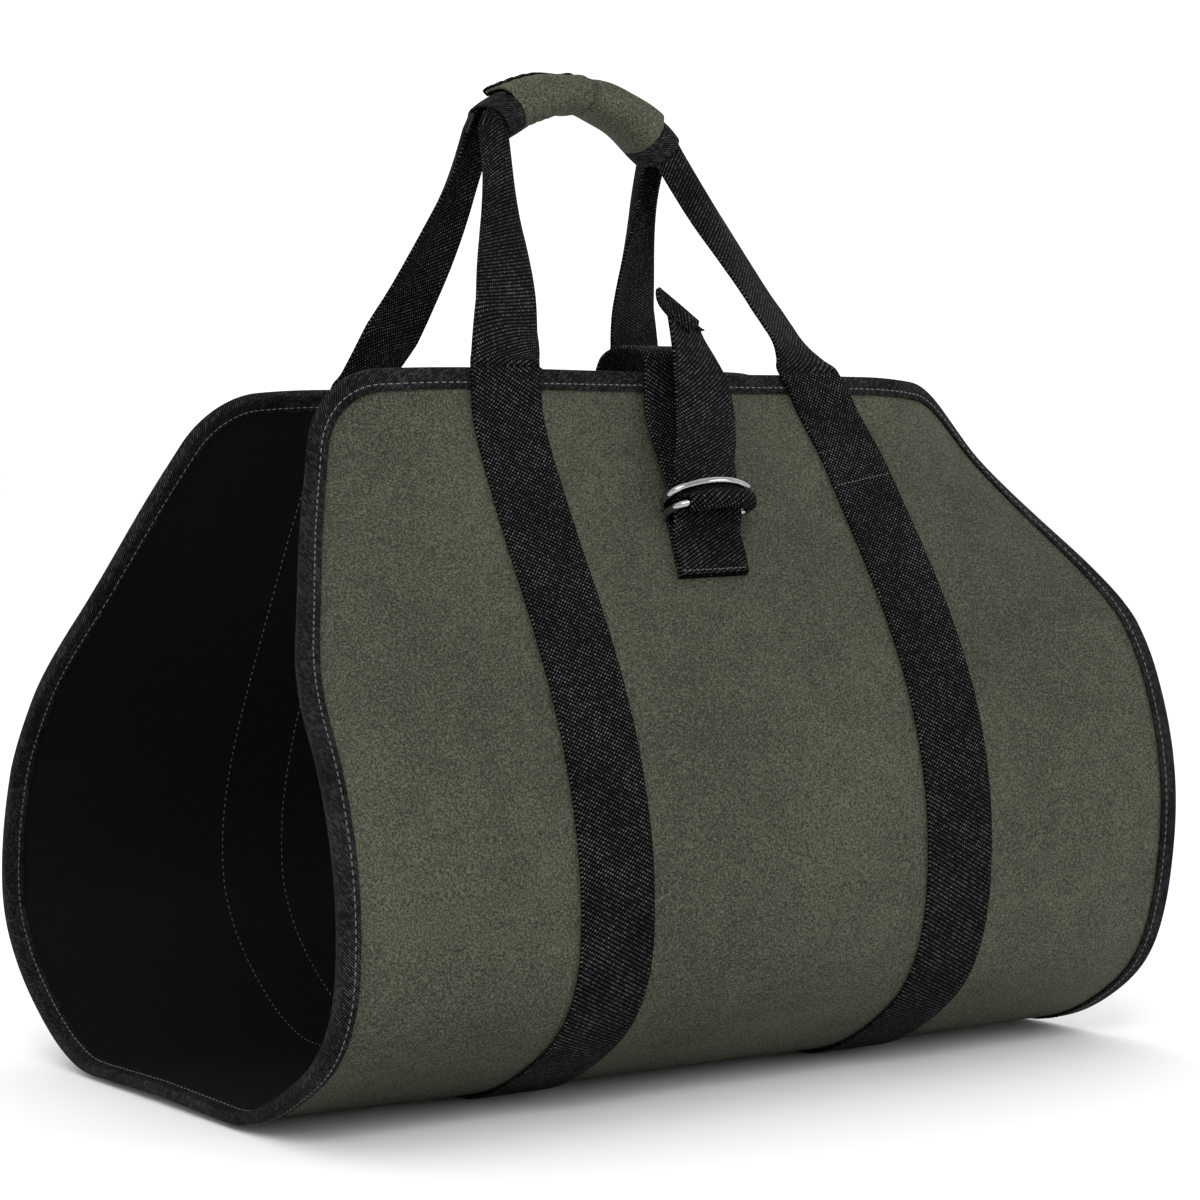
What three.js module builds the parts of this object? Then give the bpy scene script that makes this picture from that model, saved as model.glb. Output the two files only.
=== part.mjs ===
import * as THREE from 'three';

// Canvas log carrier, standing on its flat base with both handles gathered in one grip.
// Millimetres, +Z up. X runs along the width of the cloth, the front faces -Y, and the
// origin lies on the floor under the middle of the whole carrier.

const { clamp, degToRad, lerp, smoothstep } = THREE.MathUtils;

// Cloth: one long sling with four cut-off corners, measured flat
const clothWidth = 460;
const clothHalfLength = 468;
const topEdgeHalfWidth = 181;
const chamferLength = 142;
const topCornerRadius = 36;
const sideCornerRadius = 150;
const canvasThickness = 1.2;
const liningThickness = 1.0;

// Binding tape, webbing, and the clearance kept between layers
const bindingWidth = 8.5;
const bindingThickness = 1.0;
const webbingWidth = 38;
const webbingThickness = 1.8;
const strapPlace = 96;
const curlStart = strapPlace + webbingWidth / 2;
const strapRamp = 10;
const legGap = 1.8;
const layerGap = 0.4;

// The ends of the base lift a little
const baseEndLift = 3;
const baseLiftShare = 0.3;

// Grip: its arched axis starts and ends at the outer ends of its two bands
const gripSpan = 104;
const gripRise = 18.5;
const gripHeight = 114;
const gripCentreX = -6.9;
const gripCentreY = -5;
const gripTurn = 6;
const gripTilt = -4;
const gripHalfDepth = 14;
const gripSquareness = 2.3;
const wrapThickness = 1.2;
const wrapEndAngle = 30;
const bandLength = 9.5;

// Two D-rings in a webbing loop, and the closure strap that is cinched through them
const ringDrop = 68.5;
const ringWire = 3.6;
const ringInnerWidth = 42;
const ringDepth = 16.4;
const ringFrontRadius = 38;
const ringSpacing = 5.3;
const ringTilt = 7;
const loopLength = 36.5;
const loopSlant = 6;
const closurePlace = -6;
const closureStitch = 44;
const closureCup = 57;
const bridgeHeight = 20;
const bridgeTwist = 7;
const closureSag = 12;
const tailHeight = 90;
const tailForward = 41;

// Fineness of the faceted solids
const sectionSteps = 134;
const arcSteps = 3;
const rowPitch = 26;
const legSteps = 9;
const gripSteps = 9;
const wrapSteps = 16;
const overlapSteps = 2;
const webbingPoints = 7;

// Steepness of the cloth in degrees above the floor, at shares of its length from the middle
// of the base to a top edge, along each of the two straps at the front and at the back
const climb = [
  { share: 0, frontLeft: 0, frontRight: 0, backLeft: 0, backRight: 0 },
  { share: 0.14, frontLeft: 0, frontRight: 0, backLeft: 0, backRight: 0 },
  { share: 0.18, frontLeft: 15, frontRight: 15, backLeft: 16, backRight: 14 },
  { share: 0.24, frontLeft: 27, frontRight: 29, backLeft: 31, backRight: 26 },
  { share: 0.31, frontLeft: 34, frontRight: 40, backLeft: 42, backRight: 34 },
  { share: 0.37, frontLeft: 57, frontRight: 65, backLeft: 58, backRight: 62 },
  { share: 0.43, frontLeft: 84, frontRight: 82, backLeft: 86, backRight: 84 },
  { share: 0.51, frontLeft: 97, frontRight: 93, backLeft: 108, backRight: 93 },
  { share: 0.6, frontLeft: 108, frontRight: 106, backLeft: 118, backRight: 105 },
  { share: 0.68, frontLeft: 116, frontRight: 117, backLeft: 120, backRight: 116 },
  { share: 0.79, frontLeft: 121, frontRight: 125, backLeft: 120, backRight: 112 },
  { share: 0.92, frontLeft: 116, frontRight: 126, backLeft: 126, backRight: 114 },
  { share: 1, frontLeft: 92, frontRight: 109, backLeft: 128, backRight: 110 },
];

// How far each corner of the cloth rolls towards the inside beyond the straps, in degrees over
// the width that is left at the top edge
const curl = [
  { share: 0, frontLeft: 0, frontRight: 0, back: 0 },
  { share: 0.55, frontLeft: 0, frontRight: 0, back: 0 },
  { share: 0.63, frontLeft: 1, frontRight: 0, back: 3 },
  { share: 0.7, frontLeft: 5, frontRight: 0, back: 6 },
  { share: 0.77, frontLeft: 11, frontRight: 4, back: 9 },
  { share: 0.84, frontLeft: 19, frontRight: 10, back: 12 },
  { share: 0.92, frontLeft: 33, frontRight: 18, back: 14 },
  { share: 1, frontLeft: 50, frontRight: 28, back: 14 },
];

// Half height of the grip, over its whole length
const gripShape = [
  { share: 0, halfHeight: 9.8 },
  { share: 0.12, halfHeight: 10.2 },
  { share: 0.5, halfHeight: 7.8 },
  { share: 0.88, halfHeight: 10.6 },
  { share: 1, halfHeight: 10.3 },
];

// The webbing is sewn to the canvas up to this far from its ends. Above that it lies free, and
// the pull of the handle moves each end along the top edge by so much
const strapFreeLength = 50;
const strapLean = { frontLeft: 0, frontRight: -11, backLeft: 1.5, backRight: -7 };

// Each leg bows towards one side by this much, halfway up. Its lowest section lies level on
// the strap, and by this share of its length its sections stand square to it
const legLevelShare = 0.2;
const legBow = { frontLeft: 3, frontRight: -1.5, backLeft: 6, backRight: -4.5 };

// Each leg of a handle, from the top edge of the cloth to the grip: how far it twists, in
// degrees, and what share of the way it is folded to the shape that it has in the grip
const legTwist = [
  { share: 0, frontLeft: 0, frontRight: 0, backLeft: 0, backRight: 0 },
  { share: 0.1, frontLeft: 0, frontRight: 21, backLeft: 6, backRight: 1 },
  { share: 0.3, frontLeft: 0, frontRight: 27, backLeft: 9, backRight: 2 },
  { share: 0.5, frontLeft: 0, frontRight: 24, backLeft: 8, backRight: 3 },
  { share: 0.8, frontLeft: 0, frontRight: 10, backLeft: 6, backRight: 5 },
  { share: 1, frontLeft: 0, frontRight: 0, backLeft: 0, backRight: 0 },
];
const legFold = [
  { share: 0, frontLeft: 0, frontRight: 0, backLeft: 0, backRight: 0 },
  { share: 0.2, frontLeft: 0.04, frontRight: 0, backLeft: 0.04, backRight: 0 },
  { share: 0.35, frontLeft: 0.12, frontRight: 0.08, backLeft: 0.19, backRight: 0.1 },
  { share: 0.5, frontLeft: 0.36, frontRight: 0.2, backLeft: 0.36, backRight: 0.38 },
  { share: 0.65, frontLeft: 0.68, frontRight: 0.42, backLeft: 0.57, backRight: 0.68 },
  { share: 0.8, frontLeft: 0.96, frontRight: 0.72, backLeft: 0.86, backRight: 1 },
  { share: 1, frontLeft: 1, frontRight: 1, backLeft: 1, backRight: 1 },
];

// Closure strap over the gap between the panels: its place in shares of the gap from the back
// edge, and its height above the line between the edges in shares of bridgeHeight
const bridge = [
  { span: 0.08, rise: 0.1 },
  { span: 0.3, rise: -0.8 },
  { span: 0.55, rise: -1 },
  { span: 0.7, rise: -0.45 },
  { span: 0.78, rise: 0.45 },
  { span: 0.87, rise: 0.62 },
];

// Free tail of the closure strap from the upper ring to its tip: rise in shares of tailHeight,
// forward in shares of tailForward, aside in shares of the webbing width, and in degrees how
// far it twists and how far its width leans down
const tail = [
  { rise: 0.11, forward: 0.86, aside: -0.1, twist: 6, lean: 0 },
  { rise: 0.24, forward: 0.72, aside: 0.03, twist: 8, lean: 0 },
  { rise: 0.4, forward: 0.5, aside: 0.18, twist: 10, lean: 0 },
  { rise: 0.57, forward: 0.34, aside: 0.22, twist: 16, lean: 0 },
  { rise: 0.68, forward: 0.25, aside: 0.19, twist: 25, lean: 0 },
  { rise: 0.78, forward: 0.2, aside: 0.13, twist: 31, lean: 4 },
  { rise: 0.86, forward: 0.22, aside: 0.05, twist: 32, lean: 10 },
  { rise: 0.91, forward: 0.32, aside: -0.06, twist: 28, lean: 17 },
  { rise: 0.93, forward: 0.45, aside: -0.2, twist: 24, lean: 22 },
];

// Value of a column at a share of the table's length, on straight lines between the rows
function tableValue(rows, column, share) {
  const place = clamp(share, 0, 1);
  let index = 0;
  while (index < rows.length - 2 && rows[index + 1].share < place) {
    index += 1;
  }
  const low = rows[index];
  const high = rows[index + 1];
  return lerp(low[column], high[column], (place - low.share) / (high.share - low.share));
}

// End section of the cloth along one strap, walked from the middle of the base
function sectionCurve(column) {
  const step = clothHalfLength / sectionSteps;
  const points = [{ out: 0, up: layerGap + webbingThickness }];
  for (let i = 0; i < sectionSteps; i += 1) {
    const angle = degToRad(tableValue(climb, column, (i + 0.5) / sectionSteps));
    const last = points[i];
    points.push({ out: last.out + step * Math.cos(angle), up: last.up + step * Math.sin(angle) });
  }
  return points;
}

const sections = {
  frontLeft: sectionCurve('frontLeft'),
  frontRight: sectionCurve('frontRight'),
  backLeft: sectionCurve('backLeft'),
  backRight: sectionCurve('backRight'),
};

function sectionAt(column, share) {
  const place = Math.min(share, 1) * sectionSteps;
  const index = Math.min(Math.floor(place), sectionSteps - 1);
  const low = sections[column][index];
  const high = sections[column][index + 1];
  const angle = degToRad(tableValue(climb, column, share));
  const past = Math.max(share - 1, 0) * clothHalfLength;
  return {
    out: lerp(low.out, high.out, place - index) + past * Math.cos(angle),
    up: lerp(low.up, high.up, place - index) + past * Math.sin(angle),
    angle,
  };
}

// Point of the sling: across from its middle line, along from the middle of the base (below
// zero at the front), and lift outwards from the outer face of the canvas
function clothPoint(across, along, lift) {
  const front = along < 0;
  const share = Math.abs(along) / clothHalfLength;
  const left = sectionAt(front ? 'frontLeft' : 'backLeft', share);
  const right = sectionAt(front ? 'frontRight' : 'backRight', share);
  const blend = clamp(0.5 + across / (2 * curlStart), 0, 1);
  const angle = lerp(left.angle, right.angle, blend);
  const facing = front ? -1 : 1;
  const outward = new THREE.Vector3(0, facing * Math.sin(angle), -Math.cos(angle));
  const point = new THREE.Vector3(
    0,
    facing * lerp(left.out, right.out, blend),
    lerp(left.up, right.up, blend),
  );

  const beyond = Math.max(Math.abs(across) - curlStart, 0);
  const frontCurl = across < 0 ? 'frontLeft' : 'frontRight';
  const corner = degToRad(tableValue(curl, front ? frontCurl : 'back', share));
  const perLength = Math.max(corner / (topEdgeHalfWidth - curlStart), 1e-6);
  const turn = perLength * beyond;
  const side = Math.sign(across);
  point.x = side * (Math.min(Math.abs(across), curlStart) + Math.sin(turn) / perLength);
  point.addScaledVector(outward, -(1 - Math.cos(turn)) / perLength);

  const endShare = beyond / (clothWidth / 2 - curlStart);
  point.z += baseEndLift * endShare ** 2 * Math.max(1 - share / baseLiftShare, 0);
  outward.multiplyScalar(Math.cos(turn));
  outward.x = side * Math.sin(turn);
  return point.addScaledVector(outward, lift);
}

// Round corner of the flat outline, with the direction that points into the cloth
function roundCorner(before, corner, after, radius) {
  const arrive = corner.clone().sub(before).normalize();
  const leave = after.clone().sub(corner).normalize();
  const turn = Math.acos(arrive.dot(leave));
  const start = corner.clone().addScaledVector(arrive, -radius * Math.tan(turn / 2));
  const inward = new THREE.Vector2(arrive.y, -arrive.x);
  const centre = start.clone().addScaledVector(inward, radius);
  return Array.from({ length: arcSteps + 1 }, (_, i) => {
    const normal = inward.clone().rotateAround(new THREE.Vector2(), (-turn * i) / arcSteps);
    return { edge: centre.clone().addScaledVector(normal, -radius), inward: normal };
  });
}

// Samples between two corner ends, without the ends themselves
function straightRun(from, to) {
  const count = Math.max(Math.round(from.edge.distanceTo(to.edge) / rowPitch), 1);
  return Array.from({ length: count - 1 }, (_, i) => ({
    edge: from.edge.clone().lerp(to.edge, (i + 1) / count),
    inward: from.inward.clone(),
  }));
}

// Outline of a quarter of the flat cloth, from the end of its back edge to the middle of its side
function quarterOutline() {
  const top = new THREE.Vector2(0, clothHalfLength);
  const topCorner = new THREE.Vector2(topEdgeHalfWidth, clothHalfLength);
  const sideCorner = new THREE.Vector2(clothWidth / 2, clothHalfLength - chamferLength);
  const middle = new THREE.Vector2(clothWidth / 2, 0);
  const upper = roundCorner(top, topCorner, sideCorner, topCornerRadius);
  const lower = roundCorner(topCorner, sideCorner, middle, sideCornerRadius);
  const last = { edge: middle, inward: new THREE.Vector2(-1, 0) };
  return [
    ...upper,
    ...straightRun(upper[arcSteps], lower[0]),
    ...lower,
    ...straightRun(lower[arcSteps], last),
    last,
  ];
}

function mirrored(sample, acrossSign, alongSign) {
  const flip = new THREE.Vector2(acrossSign, alongSign);
  return { edge: sample.edge.clone().multiply(flip), inward: sample.inward.clone().multiply(flip) };
}

function insetBy(sample, distance) {
  return sample.edge.clone().addScaledVector(sample.inward, distance);
}

// Columns of the cloth across a row of the given half width: they follow the straps' edges
function columnsFor(halfWidth) {
  const strapInner = strapPlace - webbingWidth / 2;
  const strapOuter = strapPlace + webbingWidth / 2;
  const right = [webbingWidth / 2, strapInner, strapOuter, (strapOuter + halfWidth) / 2, halfWidth];
  return [...right.map((x) => -x).reverse(), ...right];
}

const quarter = quarterOutline();
const rightSide = [
  ...quarter,
  ...quarter.slice(0, -1).reverse().map((sample) => mirrored(sample, 1, -1)),
];
const backEdge = columnsFor(quarter[0].edge.x).map((x) => ({
  edge: new THREE.Vector2(x, clothHalfLength),
  inward: new THREE.Vector2(0, -1),
}));
const sideSamples = rightSide.slice(1, -1);
const outline = [
  ...backEdge,
  ...sideSamples,
  ...backEdge.map((sample) => mirrored(sample, 1, -1)).reverse(),
  ...sideSamples.map((sample) => mirrored(sample, -1, 1)).reverse(),
];

const heart = new THREE.Vector3(0, 0, sectionAt('frontLeft', 0.5).up);

// Collects the faces of one closed body
class Skin {
  constructor() {
    this.corners = [];
  }

  triangle(a, b, c) {
    this.corners.push(a, b, c);
  }

  // Each quad folds along the diagonal whose middle lies farther from the heart of the sling,
  // so that neighbouring layers fold alike
  quad(a, b, c, d) {
    const reach = (p, q) => p.clone().lerp(q, 0.5).distanceTo(heart);
    if (reach(a, c) > reach(b, d)) {
      this.triangle(a, b, c);
      this.triangle(a, c, d);
    } else {
      this.triangle(b, c, d);
      this.triangle(b, d, a);
    }
  }

  // Faces between neighbouring rows of points
  rows(grid, flip = false, closed = false) {
    for (let i = 0; i + 1 < grid.length; i += 1) {
      const count = closed ? grid[i].length : grid[i].length - 1;
      for (let j = 0; j < count; j += 1) {
        const next = (j + 1) % grid[i].length;
        const [a, b, c, d] = [grid[i][j], grid[i][next], grid[i + 1][next], grid[i + 1][j]];
        this.quad(a, flip ? d : b, c, flip ? b : d);
      }
    }
  }

  mesh(name, material) {
    let volume = 0;
    for (let i = 0; i < this.corners.length; i += 3) {
      const [a, b, c] = this.corners.slice(i, i + 3);
      volume += a.dot(b.clone().cross(c));
    }
    const order = volume < 0 ? [...this.corners].reverse() : this.corners;
    const geometry = new THREE.BufferGeometry().setFromPoints(order);
    geometry.computeVertexNormals();
    const mesh = new THREE.Mesh(geometry, material);
    mesh.name = name;
    return mesh;
  }
}

// Body swept through rings of points: closed into a loop, or with strip ends for thin sections
function sweep(rings, loop) {
  const skin = new Skin();
  skin.rows(loop ? [...rings, rings[0]] : rings, false, true);
  if (!loop) {
    [rings[0], rings[rings.length - 1]].forEach((ring, end) => {
      const half = ring.length / 2;
      const outer = ring.slice(0, half);
      const inner = ring.slice(half).reverse();
      skin.rows([outer, inner], end === 0);
    });
  }
  return skin;
}

// Unit normals of a grid of points, from its neighbours
function gridNormals(grid, closed) {
  return grid.map((row, i) => row.map((_, j) => {
    const count = row.length;
    const before = closed ? (j + count - 1) % count : Math.max(j - 1, 0);
    const after = closed ? (j + 1) % count : Math.min(j + 1, count - 1);
    const alongRow = row[after].clone().sub(row[before]);
    const alongColumn = grid[Math.min(i + 1, grid.length - 1)][j].clone()
      .sub(grid[Math.max(i - 1, 0)][j]);
    return alongRow.cross(alongColumn).normalize();
  }));
}

// Sheet of a given thickness about its middle surface
function thickSheet(grid, thickness) {
  const normals = gridNormals(grid, false);
  const rings = grid.map((row, i) => {
    const outer = row.map((p, j) => p.clone().addScaledVector(normals[i][j], thickness / 2));
    const inner = row.map((p, j) => p.clone().addScaledVector(normals[i][j], -thickness / 2));
    return [...outer, ...inner.reverse()];
  });
  return sweep(rings, false);
}

// Tube wall of a given thickness inside an outer surface that closes round on itself
function tubeWall(outerRows, innerRows) {
  const skin = new Skin();
  const last = outerRows.length - 1;
  skin.rows(outerRows, false, true);
  skin.rows(innerRows, true, true);
  skin.rows([outerRows[0], innerRows[0]], true, true);
  skin.rows([outerRows[last], innerRows[last]], false, true);
  return skin;
}

// One layer of the sling between two lifts, as far as its outline
function slingLayer(outerLift, innerLift) {
  const skin = new Skin();
  [outerLift, innerLift].forEach((lift, inner) => {
    const at = (place) => clothPoint(place.x, place.y, lift);
    const field = rightSide.map((sample) => {
      const end = insetBy(sample, bindingWidth);
      return columnsFor(end.x).map((x) => clothPoint(x, end.y, lift));
    });
    const loop = [...outline, outline[0]];
    const border = [
      loop.map((sample) => at(sample.edge)),
      loop.map((sample) => at(insetBy(sample, bindingWidth))),
    ];
    skin.rows(field, inner === 1);
    skin.rows(border, inner === 1);
  });
  const rim = [...outline, outline[0]];
  skin.rows([
    rim.map((sample) => clothPoint(sample.edge.x, sample.edge.y, innerLift)),
    rim.map((sample) => clothPoint(sample.edge.x, sample.edge.y, outerLift)),
  ]);
  return skin;
}

// Section of a tape folded over an edge: distance in from the edge, and lift
function tapeChannel(width, outerFace, innerFace) {
  const top = outerFace + layerGap;
  const bottom = innerFace - layerGap;
  return [
    [width, top + bindingThickness],
    [-layerGap - bindingThickness, top + bindingThickness],
    [-layerGap - bindingThickness, bottom - bindingThickness],
    [width, bottom - bindingThickness],
    [width, bottom],
    [-layerGap, bottom],
    [-layerGap, top],
    [width, top],
  ];
}

const clothStack = canvasThickness + layerGap + liningThickness;

function edgeBinding() {
  const channel = tapeChannel(bindingWidth, 0, -clothStack);
  const rings = outline.map((sample) => channel.map(([distance, lift]) => {
    const place = insetBy(sample, distance);
    return clothPoint(place.x, place.y, lift);
  }));
  return sweep(rings, true);
}

// Straps lie on the canvas and step over the binding near the top edges
function strapLift(along) {
  const bindingStart = clothHalfLength - bindingWidth;
  const over = smoothstep(Math.abs(along), bindingStart - strapRamp, bindingStart);
  return layerGap + over * (bindingThickness + layerGap);
}

const strapEnd = clothHalfLength + bindingThickness + 2 * layerGap;
const strapRows = [
  -strapEnd,
  -clothHalfLength,
  ...rightSide.map((sample) => insetBy(sample, bindingWidth).y).reverse(),
  clothHalfLength,
  strapEnd,
];

// Middle of a strap, which leans sideways above the last stitches towards its handle leg
function strapCentre(place, along) {
  const column = (along < 0 ? 'front' : 'back') + (place < 0 ? 'Left' : 'Right');
  const free = Math.max(Math.abs(along) - clothHalfLength + strapFreeLength, 0) / strapFreeLength;
  return place + strapLean[column] * free ** 2;
}

// Webbing along the sling, lying on the canvas and over the binding at both ends
function slingStrap(place) {
  const rings = strapRows.map((along) => {
    const low = strapLift(along);
    const high = low + webbingThickness;
    const inner = strapCentre(place, along) - webbingWidth / 2;
    const outer = strapCentre(place, along) + webbingWidth / 2;
    return [
      clothPoint(inner, along, high),
      clothPoint(outer, along, high),
      clothPoint(outer, along, low),
      clothPoint(inner, along, low),
    ];
  });
  return sweep(rings, false);
}

// Place and directions on the arched axis of the grip: ahead along it, front, and up
const topEdgeHeight = (clothPoint(0, clothHalfLength, 0).z + clothPoint(0, -clothHalfLength, 0).z) / 2;

function gripFrame(share) {
  const turn = degToRad(gripTurn);
  const tilt = degToRad(gripTilt);
  const chord = new THREE.Vector3(Math.cos(turn) * Math.cos(tilt), Math.sin(turn) * Math.cos(tilt), Math.sin(tilt));
  const front = new THREE.Vector3(Math.sin(turn), -Math.cos(turn), 0);
  const over = front.clone().cross(chord).normalize();
  const centre = new THREE.Vector3(gripCentreX, gripCentreY, topEdgeHeight + gripHeight)
    .addScaledVector(chord, (share - 0.5) * gripSpan)
    .addScaledVector(over, 4 * gripRise * share * (1 - share));
  const ahead = chord.clone().multiplyScalar(gripSpan)
    .addScaledVector(over, 4 * gripRise * (1 - 2 * share)).normalize();
  return { centre, ahead, front, up: front.clone().cross(ahead) };
}

// Point of the grip at an angle from its top towards the back, lifted off its outer face
function gripPoint(share, angle, lift) {
  const frame = gripFrame(share);
  const power = 2 / gripSquareness;
  const sine = Math.sin(degToRad(angle));
  const cosine = Math.cos(degToRad(angle));
  const high = (tableValue(gripShape, 'halfHeight', share) + lift) * Math.sign(cosine) * Math.abs(cosine) ** power;
  const deep = (gripHalfDepth + lift) * Math.sign(sine) * Math.abs(sine) ** power;
  return frame.centre.addScaledVector(frame.up, high).addScaledVector(frame.front, -deep);
}

// Place of a point across the webbing, from -1 at one edge to 1 at the other
function spreadOf(index) {
  return (2 * index) / (webbingPoints - 1) - 1;
}

// Webbing inside the grip lines its front or back half
const webbingLift = -(wrapThickness + layerGap + webbingThickness / 2);
const webbingSweep = 76;
const mouthShare = legGap / gripSpan;

function webbingInGrip(front, share, spread) {
  const angle = 90 + spread * webbingSweep;
  return gripPoint(share, front ? -angle : angle, webbingLift);
}

// One leg of a handle as rows of points, rising from the cloth to the grip
function handleLeg(front, left) {
  const column = (front ? 'front' : 'back') + (left ? 'Left' : 'Right');
  const facing = front ? -1 : 1;
  const place = left ? -strapPlace : strapPlace;
  const start = facing * (strapEnd + legGap);
  const lift = strapLift(start) + webbingThickness / 2;
  const foot = clothPoint(strapCentre(place, start), start, lift);
  const rising = clothPoint(place, start + facing, lift).sub(clothPoint(place, start, lift));
  const edge = clothPoint(strapCentre(place, start) + 1, start, lift).sub(foot);
  const footTurn = Math.atan2(edge.y, edge.x);

  const share = left ? -mouthShare : 1 + mouthShare;
  const frame = gripFrame(share);
  const gathered = Array.from({ length: webbingPoints }, (_, j) => (
    webbingInGrip(front, share, spreadOf(j))
  ));
  const mouth = gathered.reduce((sum, point) => sum.add(point), new THREE.Vector3())
    .divideScalar(webbingPoints);
  const shape = gathered.map((point) => {
    const offset = point.clone().sub(mouth);
    return { inner: -offset.dot(frame.up), depth: offset.dot(frame.front) * -facing };
  });

  return Array.from({ length: legSteps }, (_, i) => {
    const t = i / legSteps;
    const centre = foot.clone().lerp(mouth, t);
    centre.x += 4 * legBow[column] * t * (1 - t);
    const tangent = mouth.clone().sub(foot);
    tangent.x += 4 * legBow[column] * (1 - 2 * t);
    tangent.normalize();
    tangent.lerpVectors(rising, tangent, Math.min(t / legLevelShare, 1)).normalize();
    const turn = lerp(footTurn, degToRad(gripTurn), t) + degToRad(tableValue(legTwist, column, t));
    const out = new THREE.Vector3(-facing * Math.sin(turn), facing * Math.cos(turn), 0);
    out.addScaledVector(tangent, -out.dot(tangent)).normalize();
    const inner = tangent.clone().cross(out).multiplyScalar(-facing * (left ? 1 : -1));
    const fold = tableValue(legFold, column, t);
    return shape.map((folded, j) => centre.clone()
      .addScaledVector(inner, lerp((spreadOf(j) * webbingWidth) / 2, folded.inner, fold))
      .addScaledVector(out, lerp(0, folded.depth, fold)));
  });
}

function handle(front) {
  const inside = Array.from({ length: gripSteps + 1 }, (_, i) => (
    Array.from({ length: webbingPoints }, (_unused, j) => (
      webbingInGrip(front, lerp(-mouthShare, 1 + mouthShare, i / gripSteps), spreadOf(j))
    ))
  ));
  const grid = [...handleLeg(front, true), ...inside, ...handleLeg(front, false).reverse()];
  return thickSheet(grid, webbingThickness);
}

// Shares of the grip's length that its bands take
const bandShare = bandLength / gripSpan;
const bandGapShare = layerGap / gripSpan;

function gripBand(left) {
  const rows = [0, 1, 2].map((i) => {
    const share = (bandShare * i) / 2;
    return left ? share : 1 - share;
  });
  const ring = (share, lift) => Array.from({ length: wrapSteps }, (_, j) => (
    gripPoint(share, (360 * j) / wrapSteps, lift)
  ));
  return tubeWall(
    rows.map((share) => ring(share, 0)),
    rows.map((share) => ring(share, -wrapThickness)),
  );
}

// The flap of the grip ends over the start of the roll, with room for the tape on its edge
const flapLift = wrapThickness + bindingThickness + 2 * layerGap;
const wrapStep = 360 / wrapSteps;
const wrapOverlap = overlapSteps * wrapStep;
const wrapStart = wrapEndAngle - wrapOverlap;
const wrapEnd = 360 + wrapEndAngle;
const wrapShares = Array.from({ length: gripSteps + 1 }, (_, i) => (
  lerp(bandShare + bandGapShare, 1 - bandShare - bandGapShare, i / gripSteps)
));

function wrapLift(angle) {
  return flapLift * smoothstep(angle, 360 + wrapStart - wrapOverlap, 360 + wrapStart);
}

function gripWrap() {
  const grid = wrapShares.map((share) => Array.from({ length: wrapSteps + overlapSteps + 1 }, (_, j) => {
    const angle = wrapStart + j * wrapStep;
    return gripPoint(share, angle, wrapLift(angle) - wrapThickness / 2);
  }));
  return thickSheet(grid, wrapThickness);
}

function gripFlapBinding() {
  const degreesPerLength = 180 / (Math.PI * gripHalfDepth);
  const channel = tapeChannel(wrapStep / degreesPerLength, flapLift, flapLift - wrapThickness);
  const rings = wrapShares.map((share) => channel.map(([distance, lift]) => (
    gripPoint(share, wrapEnd - distance * degreesPerLength, lift)
  )));
  return sweep(rings, false);
}

// Rings: both straight bars lie one above the other in the webbing loop
const ringHalfWidth = (ringInnerWidth + ringWire) / 2;
const upperBar = clothHalfLength - ringDrop;
const barLift = 2 * layerGap + webbingThickness + ringWire / 2;
const ringClear = ringWire / 2 + layerGap + webbingThickness / 2;

function ringFrame(upper) {
  const along = -(upper ? upperBar : upperBar - ringSpacing);
  const bar = clothPoint(closurePlace, along, barLift);
  const across = clothPoint(closurePlace + 1, along, barLift).sub(bar).normalize();
  const out = clothPoint(closurePlace, along, barLift + 1).sub(bar).normalize();
  const up = out.clone().cross(across);
  const tilt = degToRad(upper ? ringTilt : -ringTilt);
  const reach = out.clone().multiplyScalar(Math.cos(tilt)).addScaledVector(up, Math.sin(tilt));
  return { bar, across, out, up, reach };
}

// Closed outline of a D: a straight bar, round corners and a shallow front arc
function ringOutline() {
  const corner = ringHalfWidth * 0.15;
  const frontHalf = ringHalfWidth * 0.82;
  const arcCentre = ringDepth - ringFrontRadius;
  const frontAngle = Math.asin(frontHalf / ringFrontRadius);
  const frontDepth = arcCentre + ringFrontRadius * Math.cos(frontAngle);
  const meet = frontDepth - (ringHalfWidth - frontHalf) * Math.tan(frontAngle);
  const path = new THREE.Path();
  path.moveTo(0, 0);
  path.lineTo(ringHalfWidth - corner, 0);
  path.quadraticCurveTo(ringHalfWidth, 0, ringHalfWidth, corner);
  path.quadraticCurveTo(ringHalfWidth, meet, frontHalf, frontDepth);
  path.absarc(0, arcCentre, ringFrontRadius, Math.PI / 2 - frontAngle, Math.PI / 2 + frontAngle, false);
  path.quadraticCurveTo(-ringHalfWidth, meet, -ringHalfWidth, corner);
  path.quadraticCurveTo(-ringHalfWidth, 0, corner - ringHalfWidth, 0);
  path.closePath();
  return path.getSpacedPoints(28).slice(0, -1);
}

function dRing(upper) {
  const frame = ringFrame(upper);
  const normal = frame.across.clone().cross(frame.reach);
  const points = ringOutline();
  const rings = points.map((point, i) => {
    const before = points[(i + points.length - 1) % points.length];
    const after = points[(i + 1) % points.length];
    const ahead = after.clone().sub(before).normalize();
    const outside = frame.across.clone().multiplyScalar(ahead.y).addScaledVector(frame.reach, -ahead.x);
    const centre = frame.bar.clone().addScaledVector(frame.across, point.x).addScaledVector(frame.reach, point.y);
    return Array.from({ length: 6 }, (_, k) => {
      const angle = (Math.PI * k) / 3;
      return centre.clone()
        .addScaledVector(outside, (Math.cos(angle) * ringWire) / 2)
        .addScaledVector(normal, (Math.sin(angle) * ringWire) / 2);
    });
  });
  return sweep(rings, true);
}

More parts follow.
